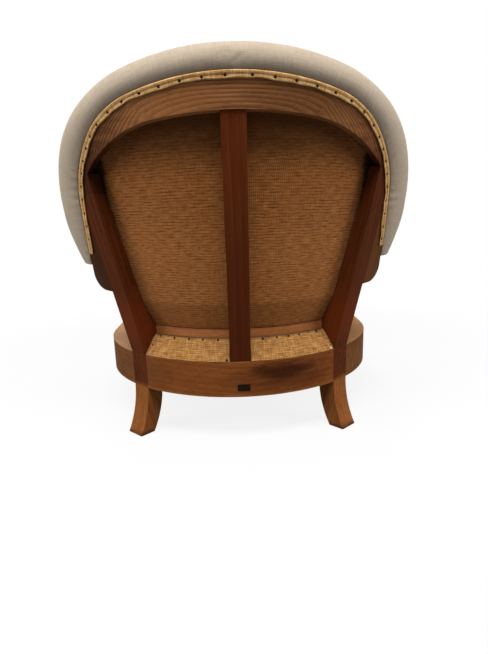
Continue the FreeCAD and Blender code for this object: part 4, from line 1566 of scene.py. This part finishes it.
@dataclass
class Tacks:
    """Small domed tacks: one is modelled and copied along the edges of the cloth."""

    radius: float = 0.0027
    height: float = 0.0016
    segments: int = 10
    rings: int = 6
    search: int = 1600
    strip_place: float = 0.57
    strip_proud: float = 0.0018
    gusset_proud: float = 0.0006
    gusset_lean: float = 0.75

    def model(self) -> Mesh:
        """Models one tack, standing on the origin along Z.

        Returns:
            Mesh of the tack.
        """
        deselect()
        size = {"segments": self.segments, "ring_count": self.rings, "radius": self.radius}
        bpy.ops.mesh.primitive_uv_sphere_add(**size)
        tack = bpy.context.object
        tack.name = "tack_model"
        bpy.ops.object.mode_set(mode="EDIT")
        bpy.ops.mesh.select_all(action="SELECT")
        bpy.ops.mesh.bisect(plane_co=(0, 0, 0), plane_no=(0, 0, 1), clear_inner=True, use_fill=True)
        bpy.ops.mesh.select_all(action="SELECT")
        bpy.ops.transform.resize(value=(1, 1, self.height / self.radius), center_override=(0, 0, 0))
        bpy.ops.object.mode_set(mode="OBJECT")
        mesh = tack.data
        bpy.data.objects.remove(tack)
        mesh.shade_smooth()
        return mesh

    def set_out(self, name: str, places: Places, metal: Material) -> None:
        """Drives tacks at places, each with the way that it looks, as one piece.

        Args:
            name: name of the piece.
            places: the places.
            metal: the material.
        """
        model = self.model()
        shape = bmesh.new()
        for place, way in places:
            before = len(shape.verts)
            shape.from_mesh(model)
            shape.verts.ensure_lookup_table()
            turn = Matrix.Translation(place) @ way.to_track_quat("Z", "Y").to_matrix().to_4x4()
            bmesh.ops.transform(shape, matrix=turn, verts=shape.verts[before:])
        bpy.data.meshes.remove(model)
        piece = shape_piece(name, shape)
        piece.data.shade_smooth()
        finish_piece(piece, metal, Slot.PLATE)

    def along_strip(self) -> Places:
        """Places of the tacks down the middle of the tack strip.

        Returns:
            The places, with the way that each tack looks.
        """
        stations = BACK.stations(STRIP_LOW, self.search)
        half = stations[-1].along / 2
        offsets = tack_offsets(half)
        places = []
        for offset in [-offset for offset in reversed(offsets)] + offsets:
            station = min(stations, key=lambda spot: abs(spot.along - half - TACK_SHIFT - offset))
            x, z = station.moved(strip_lap(station.z) - self.strip_place * STRIP_WIDTH)
            point = BACK.on_face(x, z, self.strip_proud)
            way = Vector((point.x, point.y - BACK.head_y, 0)).normalized() - Vector((0, 0, BACK.slope))
            places.append((point, way.normalized()))
        return places

    def on_gussets(self, spots: tuple[Pair, ...]) -> Places:
        """Places of tacks on the gussets, from angles in degrees and shares of the way up.

        Args:
            spots: the angles and shares.

        Returns:
            The places, with the way that each tack looks.
        """
        places = []
        for degrees, share in spots:
            angle = math.radians(degrees)
            radius, z = GUSSET_LOW.lerp(GUSSET_HIGH, share)
            way = Vector((math.sin(angle), math.cos(angle), self.gusset_lean))
            places.append((BACK.round_point(angle, radius + self.gusset_proud, z), way.normalized()))
        return places


@dataclass
class Seat:
    """Long stuffed seat with round ends, and the hessian over its springs."""

    straight: float = 0.600
    edge: float = 0.289
    head_edge: float = 0.2385
    narrowing: Pair = (math.radians(63), math.radians(50))
    base: float = 0.1830
    side_top: float = 0.2545
    shoulder: float = 0.0735
    crown: float = 0.018
    bulge: float = 0.003
    clear: float = 0.0006
    lift: float = 0.004
    under_shares: Triple = (0.0, 0.4, 0.7)
    hem_shares: tuple[float, ...] = (0.0, 0.26, 0.53, 0.89)
    hem_limit: float = 0.97
    side_rows: int = 7
    shoulder_rows: int = 12
    top_rows: int = 20
    held_above: float = 0.009
    cap: float = 0.012
    dome_edge: float = 0.277
    dome_top: float = 0.2375
    dome_slope: float = 0.041
    dome_thick: float = 0.001
    dome_flat: Pair = (0.66, 1.25)
    end_points: int = 96
    side_points: int = 100

    @property
    def middle_y(self) -> float:
        """Middle of the seat's length."""
        return BACK.head_y - self.straight / 2

    def near_axis(self, point: Vector) -> float:
        """Place along the seat of the long axis' nearest point."""
        return min(max(point.y, BACK.head_y - self.straight), BACK.head_y)

    def dome_height(self, radius: float) -> float:
        """Height of the spring hessian at a distance from the seat's long axis."""
        share = (self.dome_edge - radius) / self.dome_slope
        return between(self.base, self.dome_top, min(max(share, 0.0), 1.0))

    def outline(self) -> list[tuple[Vector, Vector, float]]:
        """Stations round the seat: point of the long axis, outward way and reach to the seat's edge.

        Returns:
            The stations.
        """
        head, foot = BACK.head_y, BACK.head_y - self.straight
        found = []
        for side, start, end in ((1, head, foot), (-1, foot, head)):
            for step in range(self.end_points):
                turn = math.pi * (side / 2 - step / self.end_points)
                reach = between(self.edge, self.head_edge, smooth(abs(turn), *self.narrowing))
                found.append((Vector((0, start, 0)), Vector((math.sin(turn), math.cos(turn), 0)), reach))
            for step in range(self.side_points):
                y = between(start, end, step / self.side_points)
                found.append((Vector((0, y, 0)), Vector((-side, 0, 0)), self.edge))
        return found

    def cover_line(self, reach: float) -> list[Pair]:
        """Radius and height of the cover, out along its underside, up its side and in to the long axis.

        Args:
            reach: reach to the seat's edge.

        Returns:
            The radii and heights.
        """
        low = self.dome_height(reach) + self.clear
        inner = reach - self.shoulder
        corner = min(self.dome_edge - self.dome_slope, self.hem_limit * reach)
        line = [(reach * share, self.dome_top + self.lift) for share in self.under_shares]
        for share in self.hem_shares:
            radius = between(corner, reach, share)
            line.append((radius, self.dome_height(radius) + self.clear + self.lift * (1 - share)))
        for step in range(self.side_rows):
            share = step / self.side_rows
            line.append((reach + self.bulge * math.sin(math.pi * share), between(low, self.side_top, share)))
        for step in range(self.shoulder_rows):
            turn = math.pi / 2 * step / self.shoulder_rows
            out, up = self.shoulder * math.cos(turn), self.shoulder * math.sin(turn)
            line.append((inner + out, self.side_top + up))
        for step in range(self.top_rows + 1):
            left = 1 - step / self.top_rows
            line.append((inner * left, self.side_top + self.shoulder + self.crown * (1 - left ** 2)))
        return line

    def draped_grid(self, name: str, lines: list[list[Pair]]) -> Piece:
        """Makes a cloth over the whole seat from a line of radii and heights for each station.

        Args:
            name: name of the piece.
            lines: the line of each station of the outline.

        Returns:
            The piece, with its threads mapped as one cloth that is drawn down over the sides.
        """
        rows = []
        for (axis, way, _), line in zip(self.outline(), lines):
            rows.append([axis + way * radius + Vector((0, 0, z)) for radius, z in line])
        rows.append(rows[0])
        piece = grid_piece(name, rows, range(len(rows)), range(len(rows[0])))
        mesh = piece.data
        threads = mesh.uv_layers[MAP_NAME].data
        top = self.side_top + self.shoulder + self.crown
        for loop in mesh.loops:
            point = mesh.vertices[loop.vertex_index].co
            near = self.near_axis(point)
            out = Vector((point.x, point.y - near))
            out *= 1 + (top - point.z) / max(out.length, MILLI)
            threads[loop.index].uv = (out.x, near + out.y)
        return piece

    def is_held(self, point: Vector) -> bool:
        """Tells whether a point of the cover lies on the rails or the spring hessian."""
        radius = math.hypot(point.x, point.y - self.near_axis(point))
        return point.z < self.dome_height(radius) + self.held_above

    def build_cover(self, linen: Material) -> None:
        """Makes the stuffed seat in its linen cover.

        Args:
            linen: the material.
        """
        piece = self.draped_grid("seat_linen", [self.cover_line(reach) for _, _, reach in self.outline()])
        held = [dot.index for dot in piece.data.vertices if self.is_held(dot.co)]
        Filling(self.cap).swell(piece, held)
        soften(piece)
        finish_piece(piece, linen, Slot.LINEN, "seat_cover", "seat_stuffing")

    def build_dome(self, hessian: Material) -> None:
        """Makes the hessian drawn over the springs.

        Args:
            hessian: the material.
        """
        quarters = (1.0, 0.75, 0.5, 0.25, 0.0)
        radii = [self.dome_edge - self.dome_slope * (1 - share) for share in quarters]
        radii += [radii[-1] * share for share in quarters[1:]]
        line = [(radius, self.dome_height(radius)) for radius in radii]
        piece = self.draped_grid("spring_hessian_sheet", [line] * len(self.outline()))
        area = thicken(piece, -BELOW, self.dome_thick)
        finish_piece(piece, hessian, Slot.HESSIAN, "spring_hessian")


@dataclass
class Webbing:
    """Two layers of straps under the rails of a seat."""

    seat: Seat
    width: float = 0.050
    steps: int = 24
    columns: tuple[float, ...] = (-0.5, -0.44, -0.15, 0.15, 0.44, 0.5)
    inset: float = 0.008
    clear: float = 0.0002
    bevel: float = 0.0006
    long_pitch: float = 0.09
    long_steps: tuple[float, ...] = (-1.5, -0.5, 0.5, 1.5)
    cross_pitch: float = 0.1
    cross_steps: range = range(-4, 5)

    def build(self, webbing: Material) -> None:
        """Makes the two layers of webbing under the rails.

        Args:
            webbing: the material.
        """
        edge = BACK.ring - self.inset
        half = self.width / 2
        runs = []
        for step in self.long_steps:
            x = self.long_pitch * step
            reach = math.sqrt(edge * edge - (abs(x) + half) ** 2)
            runs.append((x, BACK.head_y - self.seat.straight - reach, BACK.head_y + reach))
        self.layer("long_webbing_straps", "long_webbing", runs, True, webbing)
        runs = []
        for step in self.cross_steps:
            y = self.seat.middle_y + self.cross_pitch * step
            past = max(abs(y - self.seat.middle_y) + half - self.seat.straight / 2, 0.0)
            reach = math.sqrt(edge * edge - past * past)
            runs.append((y, -reach, reach))
        self.layer("cross_webbing_straps", "cross_webbing", runs, False, webbing)

    def layer(self, name: str, node: str, runs: list[Triple], lengthwise: bool,
              webbing: Material) -> None:
        """Makes one layer of straps, each a woven band with thicker selvedges.

        Args:
            name: name of the piece.
            node: CAD node that it replaces.
            runs: place, start and end of each strap.
            lengthwise: whether the straps run along the seat.
            webbing: their material.
        """
        low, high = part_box(node)
        shape = bmesh.new()
        across = [column * self.width for column in self.columns]
        for place, start, end in runs:
            along = [between(start, end, step / self.steps) for step in range(self.steps + 1)]
            rows = []
            for run in along:
                sides = [place + away for away in across]
                rows.append([(side, run, low.z) if lengthwise else (run, side, low.z) for side in sides])
            add_grid(shape, rows, along, across)
        piece = shape_piece(name, shape)
        thicken(piece, BELOW, high.z - low.z - self.clear)
        add_modifier(piece, "BEVEL", width=self.bevel, segments=2, limit_method="ANGLE")
        finish_piece(piece, webbing, Slot.WEBBING, node)


@dataclass
class Springs:
    """Waisted springs between the webbing and the hessian of a seat."""

    seat: Seat
    across: float = 0.090
    pitch: float = 0.1
    places: tuple[int, ...] = (-3, 0, 3)
    turns: int = 5
    steps: int = 20
    wire: float = 0.0020
    clear: float = 0.0004
    low: float = 0.107
    waist: float = 0.027
    flare: float = 0.013
    ends: Pair = (0.04, 0.96)

    def build(self, steel: Material) -> None:
        """Makes the waisted springs between webbing and hessian.

        Args:
            steel: the material.
        """
        inset = self.wire + self.clear
        low, high = self.low + inset, self.seat.dome_top - self.seat.dome_thick - inset
        curve = bpy.data.curves.new("springs", "CURVE")
        curve.dimensions = "3D"
        curve.bevel_depth = self.wire
        curve.bevel_resolution = 1
        steps = self.steps * self.turns
        for side in (-1, 1):
            for place in self.places:
                spline = curve.splines.new("POLY")
                spline.points.add(steps)
                for step in range(steps + 1):
                    share = step / steps
                    radius = self.waist + self.flare * (2 * share - 1) ** 2
                    turn = FULL_TURN * self.turns * share
                    x = side * self.across + radius * math.cos(turn)
                    y = self.seat.middle_y + self.pitch * place + radius * math.sin(turn)
                    spline.points[step].co = (x, y, between(low, high, smooth(share, *self.ends)), 1.0)
        choose(link("seat_spring_set", curve))
        bpy.ops.object.convert(target="MESH")
        piece = bpy.context.object
        piece.data.shade_smooth()
        finish_piece(piece, steel, Slot.SPRING, "seat_springs")


HEAD = BACK.head_y
LEAN = math.radians(14.74)
LEG_SHADES = ((102, 54, 23), (142, 85, 42), (168, 110, 60))
# The left wing's tones are a darker copy of the right wing's: painted shade on the left wing's outer face.
LEFT_WING_PAINTED_SHADE = ((42, 20, 8), (66, 34, 15), (90, 52, 26))
RIGHT_WING_SHADES = ((66, 35, 15), (98, 58, 28), (126, 80, 42))
SOLE = Mark((50, 26, 10), (0, HEAD, -0.006), (2.0, 2.0, 0.016),
            strength=0.8, ragged=0.8)
BASE_WEAR = Mark((150, 102, 60), (0, HEAD, 0.105), (2.0, 2.0, 0.007),
                 strength=0.5, ragged=1.2)


def crest_wood() -> Wood:
    """Crest with a board glued on at each end, darker towards the stiles: partly the wood's own tone, partly
    painted shade.

    Returns:
        The finish.
    """
    left_mid = Mark((152, 98, 57), (0.10, HEAD + 0.42, 0.655), (0.10, 0.20, 0.05),
                    strength=0.5, ragged=0.8)
    right_mid = Mark((90, 52, 26), (-0.13, HEAD + 0.40, 0.660), (0.16, 0.20, 0.06),
                     strength=0.6, ragged=0.8)
    # left_end and right_end darken the crest's ends: partly the wood's darker tone, partly painted shade.
    left_end = Mark((106, 78, 64), (0.29, HEAD + 0.28, 0.50), (0.21, 0.35, 0.215),
                    strength=0.97, ragged=0.6, soft=0.4, tint=True)
    right_end = Mark((130, 92, 76), (-0.29, HEAD + 0.28, 0.49), (0.20, 0.35, 0.182),
                     strength=0.97, ragged=0.6, soft=0.4, tint=True)
    ends = []
    for side in (1, -1):
        along, heart = (-0.72 * side, 0.34, 0.60), (side * 0.30, HEAD + 0.36, 0.50)
        joint = {"edge": 0.139, "edge_z": 0.638, "slant": 2.68}
        ends.append(Board(**joint, side=side, along=along, heart=heart, ring=0.0042))
    return Wood("crest_wood", (74, 40, 19), (130, 80, 44), (170, 118, 74), heart=(0.03, HEAD + 0.47, 0.60),
                ring=0.0052, ring_share=0.48, boards=tuple(ends),
                marks=(left_mid, right_mid, left_end, right_end))


def splat_wood() -> Wood:
    """Red-brown splat with its grain upright, darker low down.

    Returns:
        The finish.
    """
    dark_low = Mark((74, 32, 12), (0, HEAD + 0.35, 0.30), (0.08, 0.20, 0.26),
                    strength=0.5, ragged=0.5)
    rise = (0.0, math.sin(LEAN), math.cos(LEAN))
    return Wood("splat_wood", (74, 32, 12), (98, 44, 17), (122, 60, 25), along=rise, heart=(0.11, 0.62, 0.4),
                ring=0.015, ring_share=0.16, wander=0.02, marks=(dark_low,))


def rear_rail_wood() -> Wood:
    """Rear rail with a dark stain on the right and worn edges.

    Returns:
        The finish.
    """
    rim = Mark((160, 104, 58), (0, HEAD, 0.1834), (2.0, 2.0, 0.0030),
               strength=0.5, ragged=0.8)
    stain = Mark((46, 20, 7), (-0.105, HEAD + BACK.ring, 0.157), (0.105, 0.06, 0.024),
                 strength=0.8, ragged=1.3)
    haze = Mark((78, 38, 15), (-0.11, HEAD + BACK.ring, 0.145), (0.16, 0.10, 0.050),
                strength=0.65, ragged=0.9)
    pale = Mark((104, 68, 38), (0.21, HEAD + 0.26, 0.150), (0.07, 0.08, 0.050),
                strength=0.5, ragged=1.2)
    return Wood("rear_rail_wood", (96, 48, 19), (126, 70, 31), (150, 94, 50), heart=(0.0, 0.50, 0.02),
                ring=0.012, marks=(pale, haze, stain, BASE_WEAR, rim))


def side_rail_wood() -> Wood:
    """Side rails with bare wood on top, where the cover has not been drawn over.

    Returns:
        The finish.
    """
    bare_top = Mark((176, 124, 72), (0, HEAD, 0.1850), (3.0, 3.0, 0.0030),
                    strength=0.95, ragged=0.2, soft=0.1)
    return Wood("side_rail_wood", (86, 50, 23), (116, 72, 37), (142, 96, 56), along=(0.0, 1.0, 0.0),
                heart=(0.28, 0.0, 0.02), ring=0.012, marks=(BASE_WEAR, bare_top))


def rear_leg_wood(side: int, name: str, along: Triple) -> Wood:
    """Rear leg, worn above the rail and deeper in colour along the stile.

    Args:
        side: 1 on the left, -1 on the right.
        name: the side's name.
        along: way of the grain.

    Returns:
        The finish.
    """
    worn = Mark((116, 50, 17), (side * 0.225, HEAD + 0.245, 0.255), (0.07, 0.07, 0.085),
                strength=0.6, ragged=1.1)
    deep = Mark((152, 122, 114), (0, HEAD + 0.2, 0.40), (2.0, 2.0, 0.297),
                strength=0.96, ragged=0.05, soft=0.03, tint=True)
    return Wood(f"rear_leg_wood_{name}", *LEG_SHADES, along=along, heart=(side * 0.33, HEAD + 0.25, 0.2),
                ring=0.009, marks=(deep, worn, SOLE))


def wood_finishes() -> list[tuple[Wood, tuple[str, ...]]]:
    """Finishes of the wooden nodes, with the nodes that take each.

    Returns:
        The finishes and their nodes.
    """
    found = []
    for side, name, shades in ((1, "left", LEFT_WING_PAINTED_SHADE), (-1, "right", RIGHT_WING_SHADES)):
        out = math.sin(LEAN)
        along = (side * math.sin(POST_TURN) * out, math.cos(POST_TURN) * out, math.cos(LEAN))
        # On the left, the wing's darker tones paint shade.
        wing = Wood(f"wing_wood_{name}", *shades, along=along, heart=(side * 0.36, HEAD + 0.1, 0.4))
        found.append((rear_leg_wood(side, name, along), (f"rear_leg_{name}",)))
        found.append((wing, (f"wing_rail_{name}",)))
    side_rail = side_rail_wood()
    foot_rail = replace(side_rail, name="foot_rail_wood", along=(1.0, 0.0, 0.0), heart=(0.0, -0.62, 0.02))
    low_rail = Wood("lower_back_rail_wood", (126, 74, 40), (164, 102, 58), (186, 128, 82),
                    heart=(0.0, 0.5, 0.15))
    front = Wood("front_leg_wood", *LEG_SHADES, along=(0.0, 0.0, 1.0), heart=(0.3, -0.5, 0.1), ring=0.009,
                 marks=(SOLE,))
    pin = Wood("dowel_wood", (120, 82, 50), (156, 112, 72), (180, 138, 94))
    return found + [
        (crest_wood(), ("crest_rail",)),
        (splat_wood(), ("centre_splat",)),
        (rear_rail_wood(), ("rear_seat_rail",)),
        (side_rail, ("side_seat_rail_left", "side_seat_rail_right")),
        (foot_rail, ("foot_seat_rail",)),
        (low_rail, ("lower_back_rail",)),
        (front, ("front_leg_left", "front_leg_right")),
        (pin, ("wing_dowels",)),
    ]


def dress_frame(effects: Effects) -> None:
    """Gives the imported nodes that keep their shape, the wood and the plate, their finishes.

    Args:
        effects: shared node groups.
    """
    for finish, nodes in wood_finishes():
        material = finish.material(effects)
        for node in nodes:
            coat(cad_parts[node], material)
    plate = Metal("plate_steel", (24, 15, 10), (46, 32, 22), scale=160.0, metallic=0.1, specular=0.05)
    coat(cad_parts["rail_plate"], plate.material(effects))


@dataclass(frozen=True)
class Lamp:
    """Soft lamp that looks at a point."""

    name: str
    place: Triple
    target: Triple
    size: Pair
    power: float

    def hang(self) -> None:
        """Adds the lamp to the scene."""
        light = bpy.data.lights.new(self.name, "AREA")
        light.shape = "RECTANGLE"
        light.size, light.size_y = self.size
        light.energy = self.power
        way = Vector(self.target) - Vector(self.place)
        turn = way.to_track_quat("-Z", "Y").to_matrix().to_4x4()
        link(self.name, light).matrix_world = Matrix.Translation(self.place) @ turn


BACK_MIDDLE = (0.0, 0.45, 0.4)
LAMPS = (
    Lamp("key_light", (0.04, 1.66, 2.36), BACK_MIDDLE, size=(1.6, 0.7), power=55.0),
    Lamp("left_light", (2.0, 1.05, 1.15), BACK_MIDDLE, size=(0.9, 0.9), power=20.0),
    Lamp("front_light", (0.5, -2.4, 2.0), (0.0, -0.2, 0.3), size=(1.6, 1.1), power=37.0),
    Lamp("right_light", (-2.0, 1.05, 1.15), BACK_MIDDLE, size=(0.9, 0.9), power=20.0),
)


@dataclass
class Studio:
    """Pale floor, white surround and soft light from above."""

    floor_half: float = 6.0
    floor_bounce: float = 0.28
    floor_look: float = 0.85
    floor_rough: float = 0.9
    fade_reaches: Pair = (0.5, 1.3)
    fade_glows: Pair = (0.86, 1.0)
    surround: float = 0.10

    def build(self) -> None:
        """Sets up the floor, the world and the lamps."""
        bpy.context.scene.view_settings.view_transform = "Standard"
        self.build_world()
        self.build_floor()
        for lamp in LAMPS:
            lamp.hang()

    def build_world(self) -> None:
        """Makes a surround that lights softly and looks white."""
        world = bpy.data.worlds.new("surround")
        world.use_nodes = True
        bpy.context.scene.world = world
        wire = Wiring(world.node_tree)
        path = wire.add("LightPath").outputs
        seen = wire.math("MAXIMUM", path["Is Camera Ray"], path["Is Glossy Ray"])
        seen = wire.math("MAXIMUM", seen, path["Is Transmission Ray"])
        strength = wire.spread(seen, 0.0, 1.0, first=self.surround)
        wire.named(world.node_tree.nodes["Background"], color=(1, 1, 1, 1), strength=strength)

    def build_floor(self) -> None:
        """Makes a pale floor that fades to white away from the object and keeps its shadow."""
        deselect()
        bpy.ops.mesh.primitive_plane_add(size=2 * self.floor_half, location=(0, 0, 0))
        floor = bpy.context.object
        floor.name = "floor"
        paint = Finish("floor_paint")
        wire = paint.wire
        seen = wire.add("LightPath").outputs["Is Camera Ray"]
        tint = wire.spread(seen, 0.0, 1.0, self.floor_bounce, self.floor_look)
        paint.shine(specular=0.0, base_color=tint, roughness=self.floor_rough)
        reach = wire.vector("LENGTH", paint.place).outputs["Value"]
        glow = wire.math("MULTIPLY", wire.spread(reach, *self.fade_reaches, *self.fade_glows), seen)
        shaders = (paint.shader.outputs[0], wire.add("Emission").outputs[0])
        mixed = wire.fed(wire.add("MixShader"), glow, *shaders)
        wire.named(paint.material.node_tree.nodes["Material Output"], surface=mixed.outputs[0])
        floor.data.materials.append(paint.material)


@dataclass(frozen=True)
class PhotoCamera:
    """Camera behind the back, as the photograph was taken."""

    place: Triple = (0.0056, 1.5004, 0.4913)
    yaw: float = math.radians(-0.882)
    pitch: float = math.radians(13.923)
    roll: float = math.radians(1.654)
    focal_pixels: float = 490.0
    picture_height: int = 654
    sensor: float = 36.0

    def build(self) -> None:
        """Adds the camera and makes it the scene's own."""
        sin, cos = math.sin, math.cos
        flat = cos(self.pitch)
        forward = Vector((sin(self.yaw) * flat, -cos(self.yaw) * flat, -sin(self.pitch)))
        level = Vector((-cos(self.yaw), -sin(self.yaw), 0))
        down = forward.cross(level)
        right = cos(self.roll) * level + sin(self.roll) * down
        up = sin(self.roll) * level - cos(self.roll) * down
        camera = bpy.data.cameras.new("photo_camera")
        camera.sensor_width = self.sensor
        camera.lens = self.focal_pixels / self.picture_height * self.sensor
        holder = link("photo_camera", camera)
        turn = Matrix((right, up, -forward)).transposed().to_4x4()
        holder.matrix_world = Matrix.Translation(self.place) @ turn
        bpy.context.scene.camera = holder


def linen(name: str, lay: Lay, *painted_shade_lines: Triple) -> Cloth:
    """Pale natural linen, laid one way or another, with lines of painted shade where it is drawn in.

    Args:
        name: name of the material.
        lay: how its threads lie.
        painted_shade_lines: place, half width and strength of each line of painted shade.

    Returns:
        The finish.
    """
    return Cloth(name, (170, 153, 132), (187, 170, 149), (200, 184, 164), lay, pitch=1.7 * MILLI,
                 rib=1.7 * MILLI, gap=0.10, contrast=0.55, depth=0.25 * MILLI, sheen=0.1, run=34.0,
                 thread=0.8, crumple=3.5, painted_shade_lines=painted_shade_lines, painted_shade_heights=(0.55, 0.66))


def back_hessian() -> Cloth:
    """Hessian of the back, with painted shade under the crest and in its corners.

    Returns:
        The finish.
    """
    # Painted shadow under the crest, with painted shade fading down the hessian below it.
    hessian_painted_shade = [Mark((76, 44, 20), (0, HEAD + 0.4, 0.675), (0.9, 0.9, 0.130),
                  strength=0.88, ragged=0.3)]
    hessian_painted_shade.append(Mark((170, 160, 150), (0, HEAD + 0.4, 0.52), (0.9, 0.9, 0.11),
                      strength=0.25, ragged=0.5, soft=0.5, tint=True))
    for side in (1, -1):
        # Beside each stile, painted shade on the hessian, darkest in its upper corner.
        soft, deep = (side * 0.30, 0.46, 0.52), (side * 0.277, 0.54, 0.562)
        hessian_painted_shade.append(Mark((150, 140, 130), soft, (0.075, 0.2, 0.16),
                          strength=0.8, ragged=0.3, soft=0.5, tint=True))
        hessian_painted_shade.append(Mark((72, 56, 46), deep, (0.038, 0.3, 0.085),
                          strength=0.95, ragged=0.25, soft=0.15, tint=True))
    return Cloth("back_hessian_cloth", (138, 84, 40), (170, 106, 54), (192, 129, 70), Lay.MAPPED,
                 pitch=3.0 * MILLI, rib=5.6 * MILLI, line=0.55, gap=0.42, weft_share=0.7, contrast=0.95,
                 depth=0.8 * MILLI, sheen=0.05, run=64.0, thread=1.1, marks=tuple(hessian_painted_shade))


def gusset_jute() -> Cloth:
    """Open jute of the gussets, with a painted shadow line under the lower back rail.

    Returns:
        The finish.
    """
    # The line of painted shade at the jute's top edge is the shadow under the lower back rail.
    return Cloth("gusset_jute", (128, 86, 43), (174, 123, 68), (206, 156, 97), Lay.MAPPED,
                 pitch=3.0 * MILLI, rib=4.4 * MILLI, line=0.45, gap=0.5, depth=1.0 * MILLI, sheen=0.05,
                 run=40.0, thread=0.9, painted_shade_lines=((55.0 * MILLI, 8.0 * MILLI, 0.95),))


def strip_jute() -> Cloth:
    """Pale folded jute of the tack strip, with painted shade along its middle fold and a painted shadow line
    along its lower edge.

    Returns:
        The finish.
    """
    # Painted shade in the middle fold, and a painted shadow line where the strip's lower edge stands off the
    # wood.
    painted_shade_lines = ((5.4 * MILLI, 1.6 * MILLI, 0.45), (11.8 * MILLI, 1.5 * MILLI, 0.8))
    return Cloth("strip_jute", (178, 126, 70), (224, 172, 108), (242, 203, 146), Lay.MAPPED,
                 pitch=2.2 * MILLI, rib=2.2 * MILLI, gap=0.35, depth=0.6 * MILLI, sheen=0.05, run=40.0,
                 painted_shade_lines=painted_shade_lines)


def build_back(effects: Effects) -> None:
    """Builds the soft pieces of the back and their tacks.

    Args:
        effects: shared node groups.
    """
    roll = EdgeRoll()
    # The roll's linen has painted shade along its tacked edge towards the crown.
    roll.build(linen("roll_linen", Lay.MAPPED, (0.0, 26.0 * MILLI, 0.55)).material(effects))
    InsideBack().build(linen("back_linen", Lay.ROUND).material(effects), roll)
    BackHessian().build(back_hessian().material(effects))
    jute = gusset_jute().material(effects)
    for side in (1, -1):
        Gusset(side=side).build(jute)
    TackStrip().build(strip_jute().material(effects))
    dark = Metal("tack_steel", (26, 16, 11), (56, 40, 30), scale=400.0, metallic=0.2).material(effects)
    pale = Metal("pin_steel", (206, 196, 178), (240, 234, 224), scale=400.0, metallic=0.0, specular=0.3)
    tacks = Tacks()
    tacks.set_out("strip_tacks", tacks.along_strip(), dark)
    tacks.set_out("gusset_tacks", tacks.on_gussets(GUSSET_TACKS), dark)
    tacks.set_out("gusset_pin", tacks.on_gussets(GUSSET_PINS), pale.material(effects))


def build_seat(effects: Effects) -> None:
    """Builds the seat's cover and what lies under it.

    Args:
        effects: shared node groups.
    """
    seat = Seat()
    seat.build_cover(linen("seat_linen", Lay.MAPPED).material(effects))
    hessian = Cloth("spring_hessian_cloth", (96, 62, 32), (142, 98, 56), (172, 126, 78), Lay.MAPPED,
                    pitch=3.0 * MILLI, rib=3.0 * MILLI, gap=0.4)
    seat.build_dome(hessian.material(effects))
    webbing = Cloth("webbing_cloth", (112, 84, 52), (158, 124, 82), (186, 152, 108), Lay.MAPPED,
                    pitch=2.4 * MILLI, rib=4.8 * MILLI, line=0.4, gap=0.4)
    Webbing(seat).build(webbing.material(effects))
    steel = Metal("spring_wire", (60, 58, 56), (120, 116, 110), scale=220.0, metallic=0.9, specular=0.5)
    Springs(seat).build(steel.material(effects))


def main() -> None:
    """Builds the studio, the frame's finishes and every soft piece."""
    logging.basicConfig(level=logging.INFO, format="%(name)s: %(message)s")
    PhotoCamera().build()
    Studio().build()
    effects = Effects()
    dress_frame(effects)
    build_back(effects)
    build_seat(effects)
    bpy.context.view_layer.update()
    deselect()


if __name__ == "__main__":
    main()
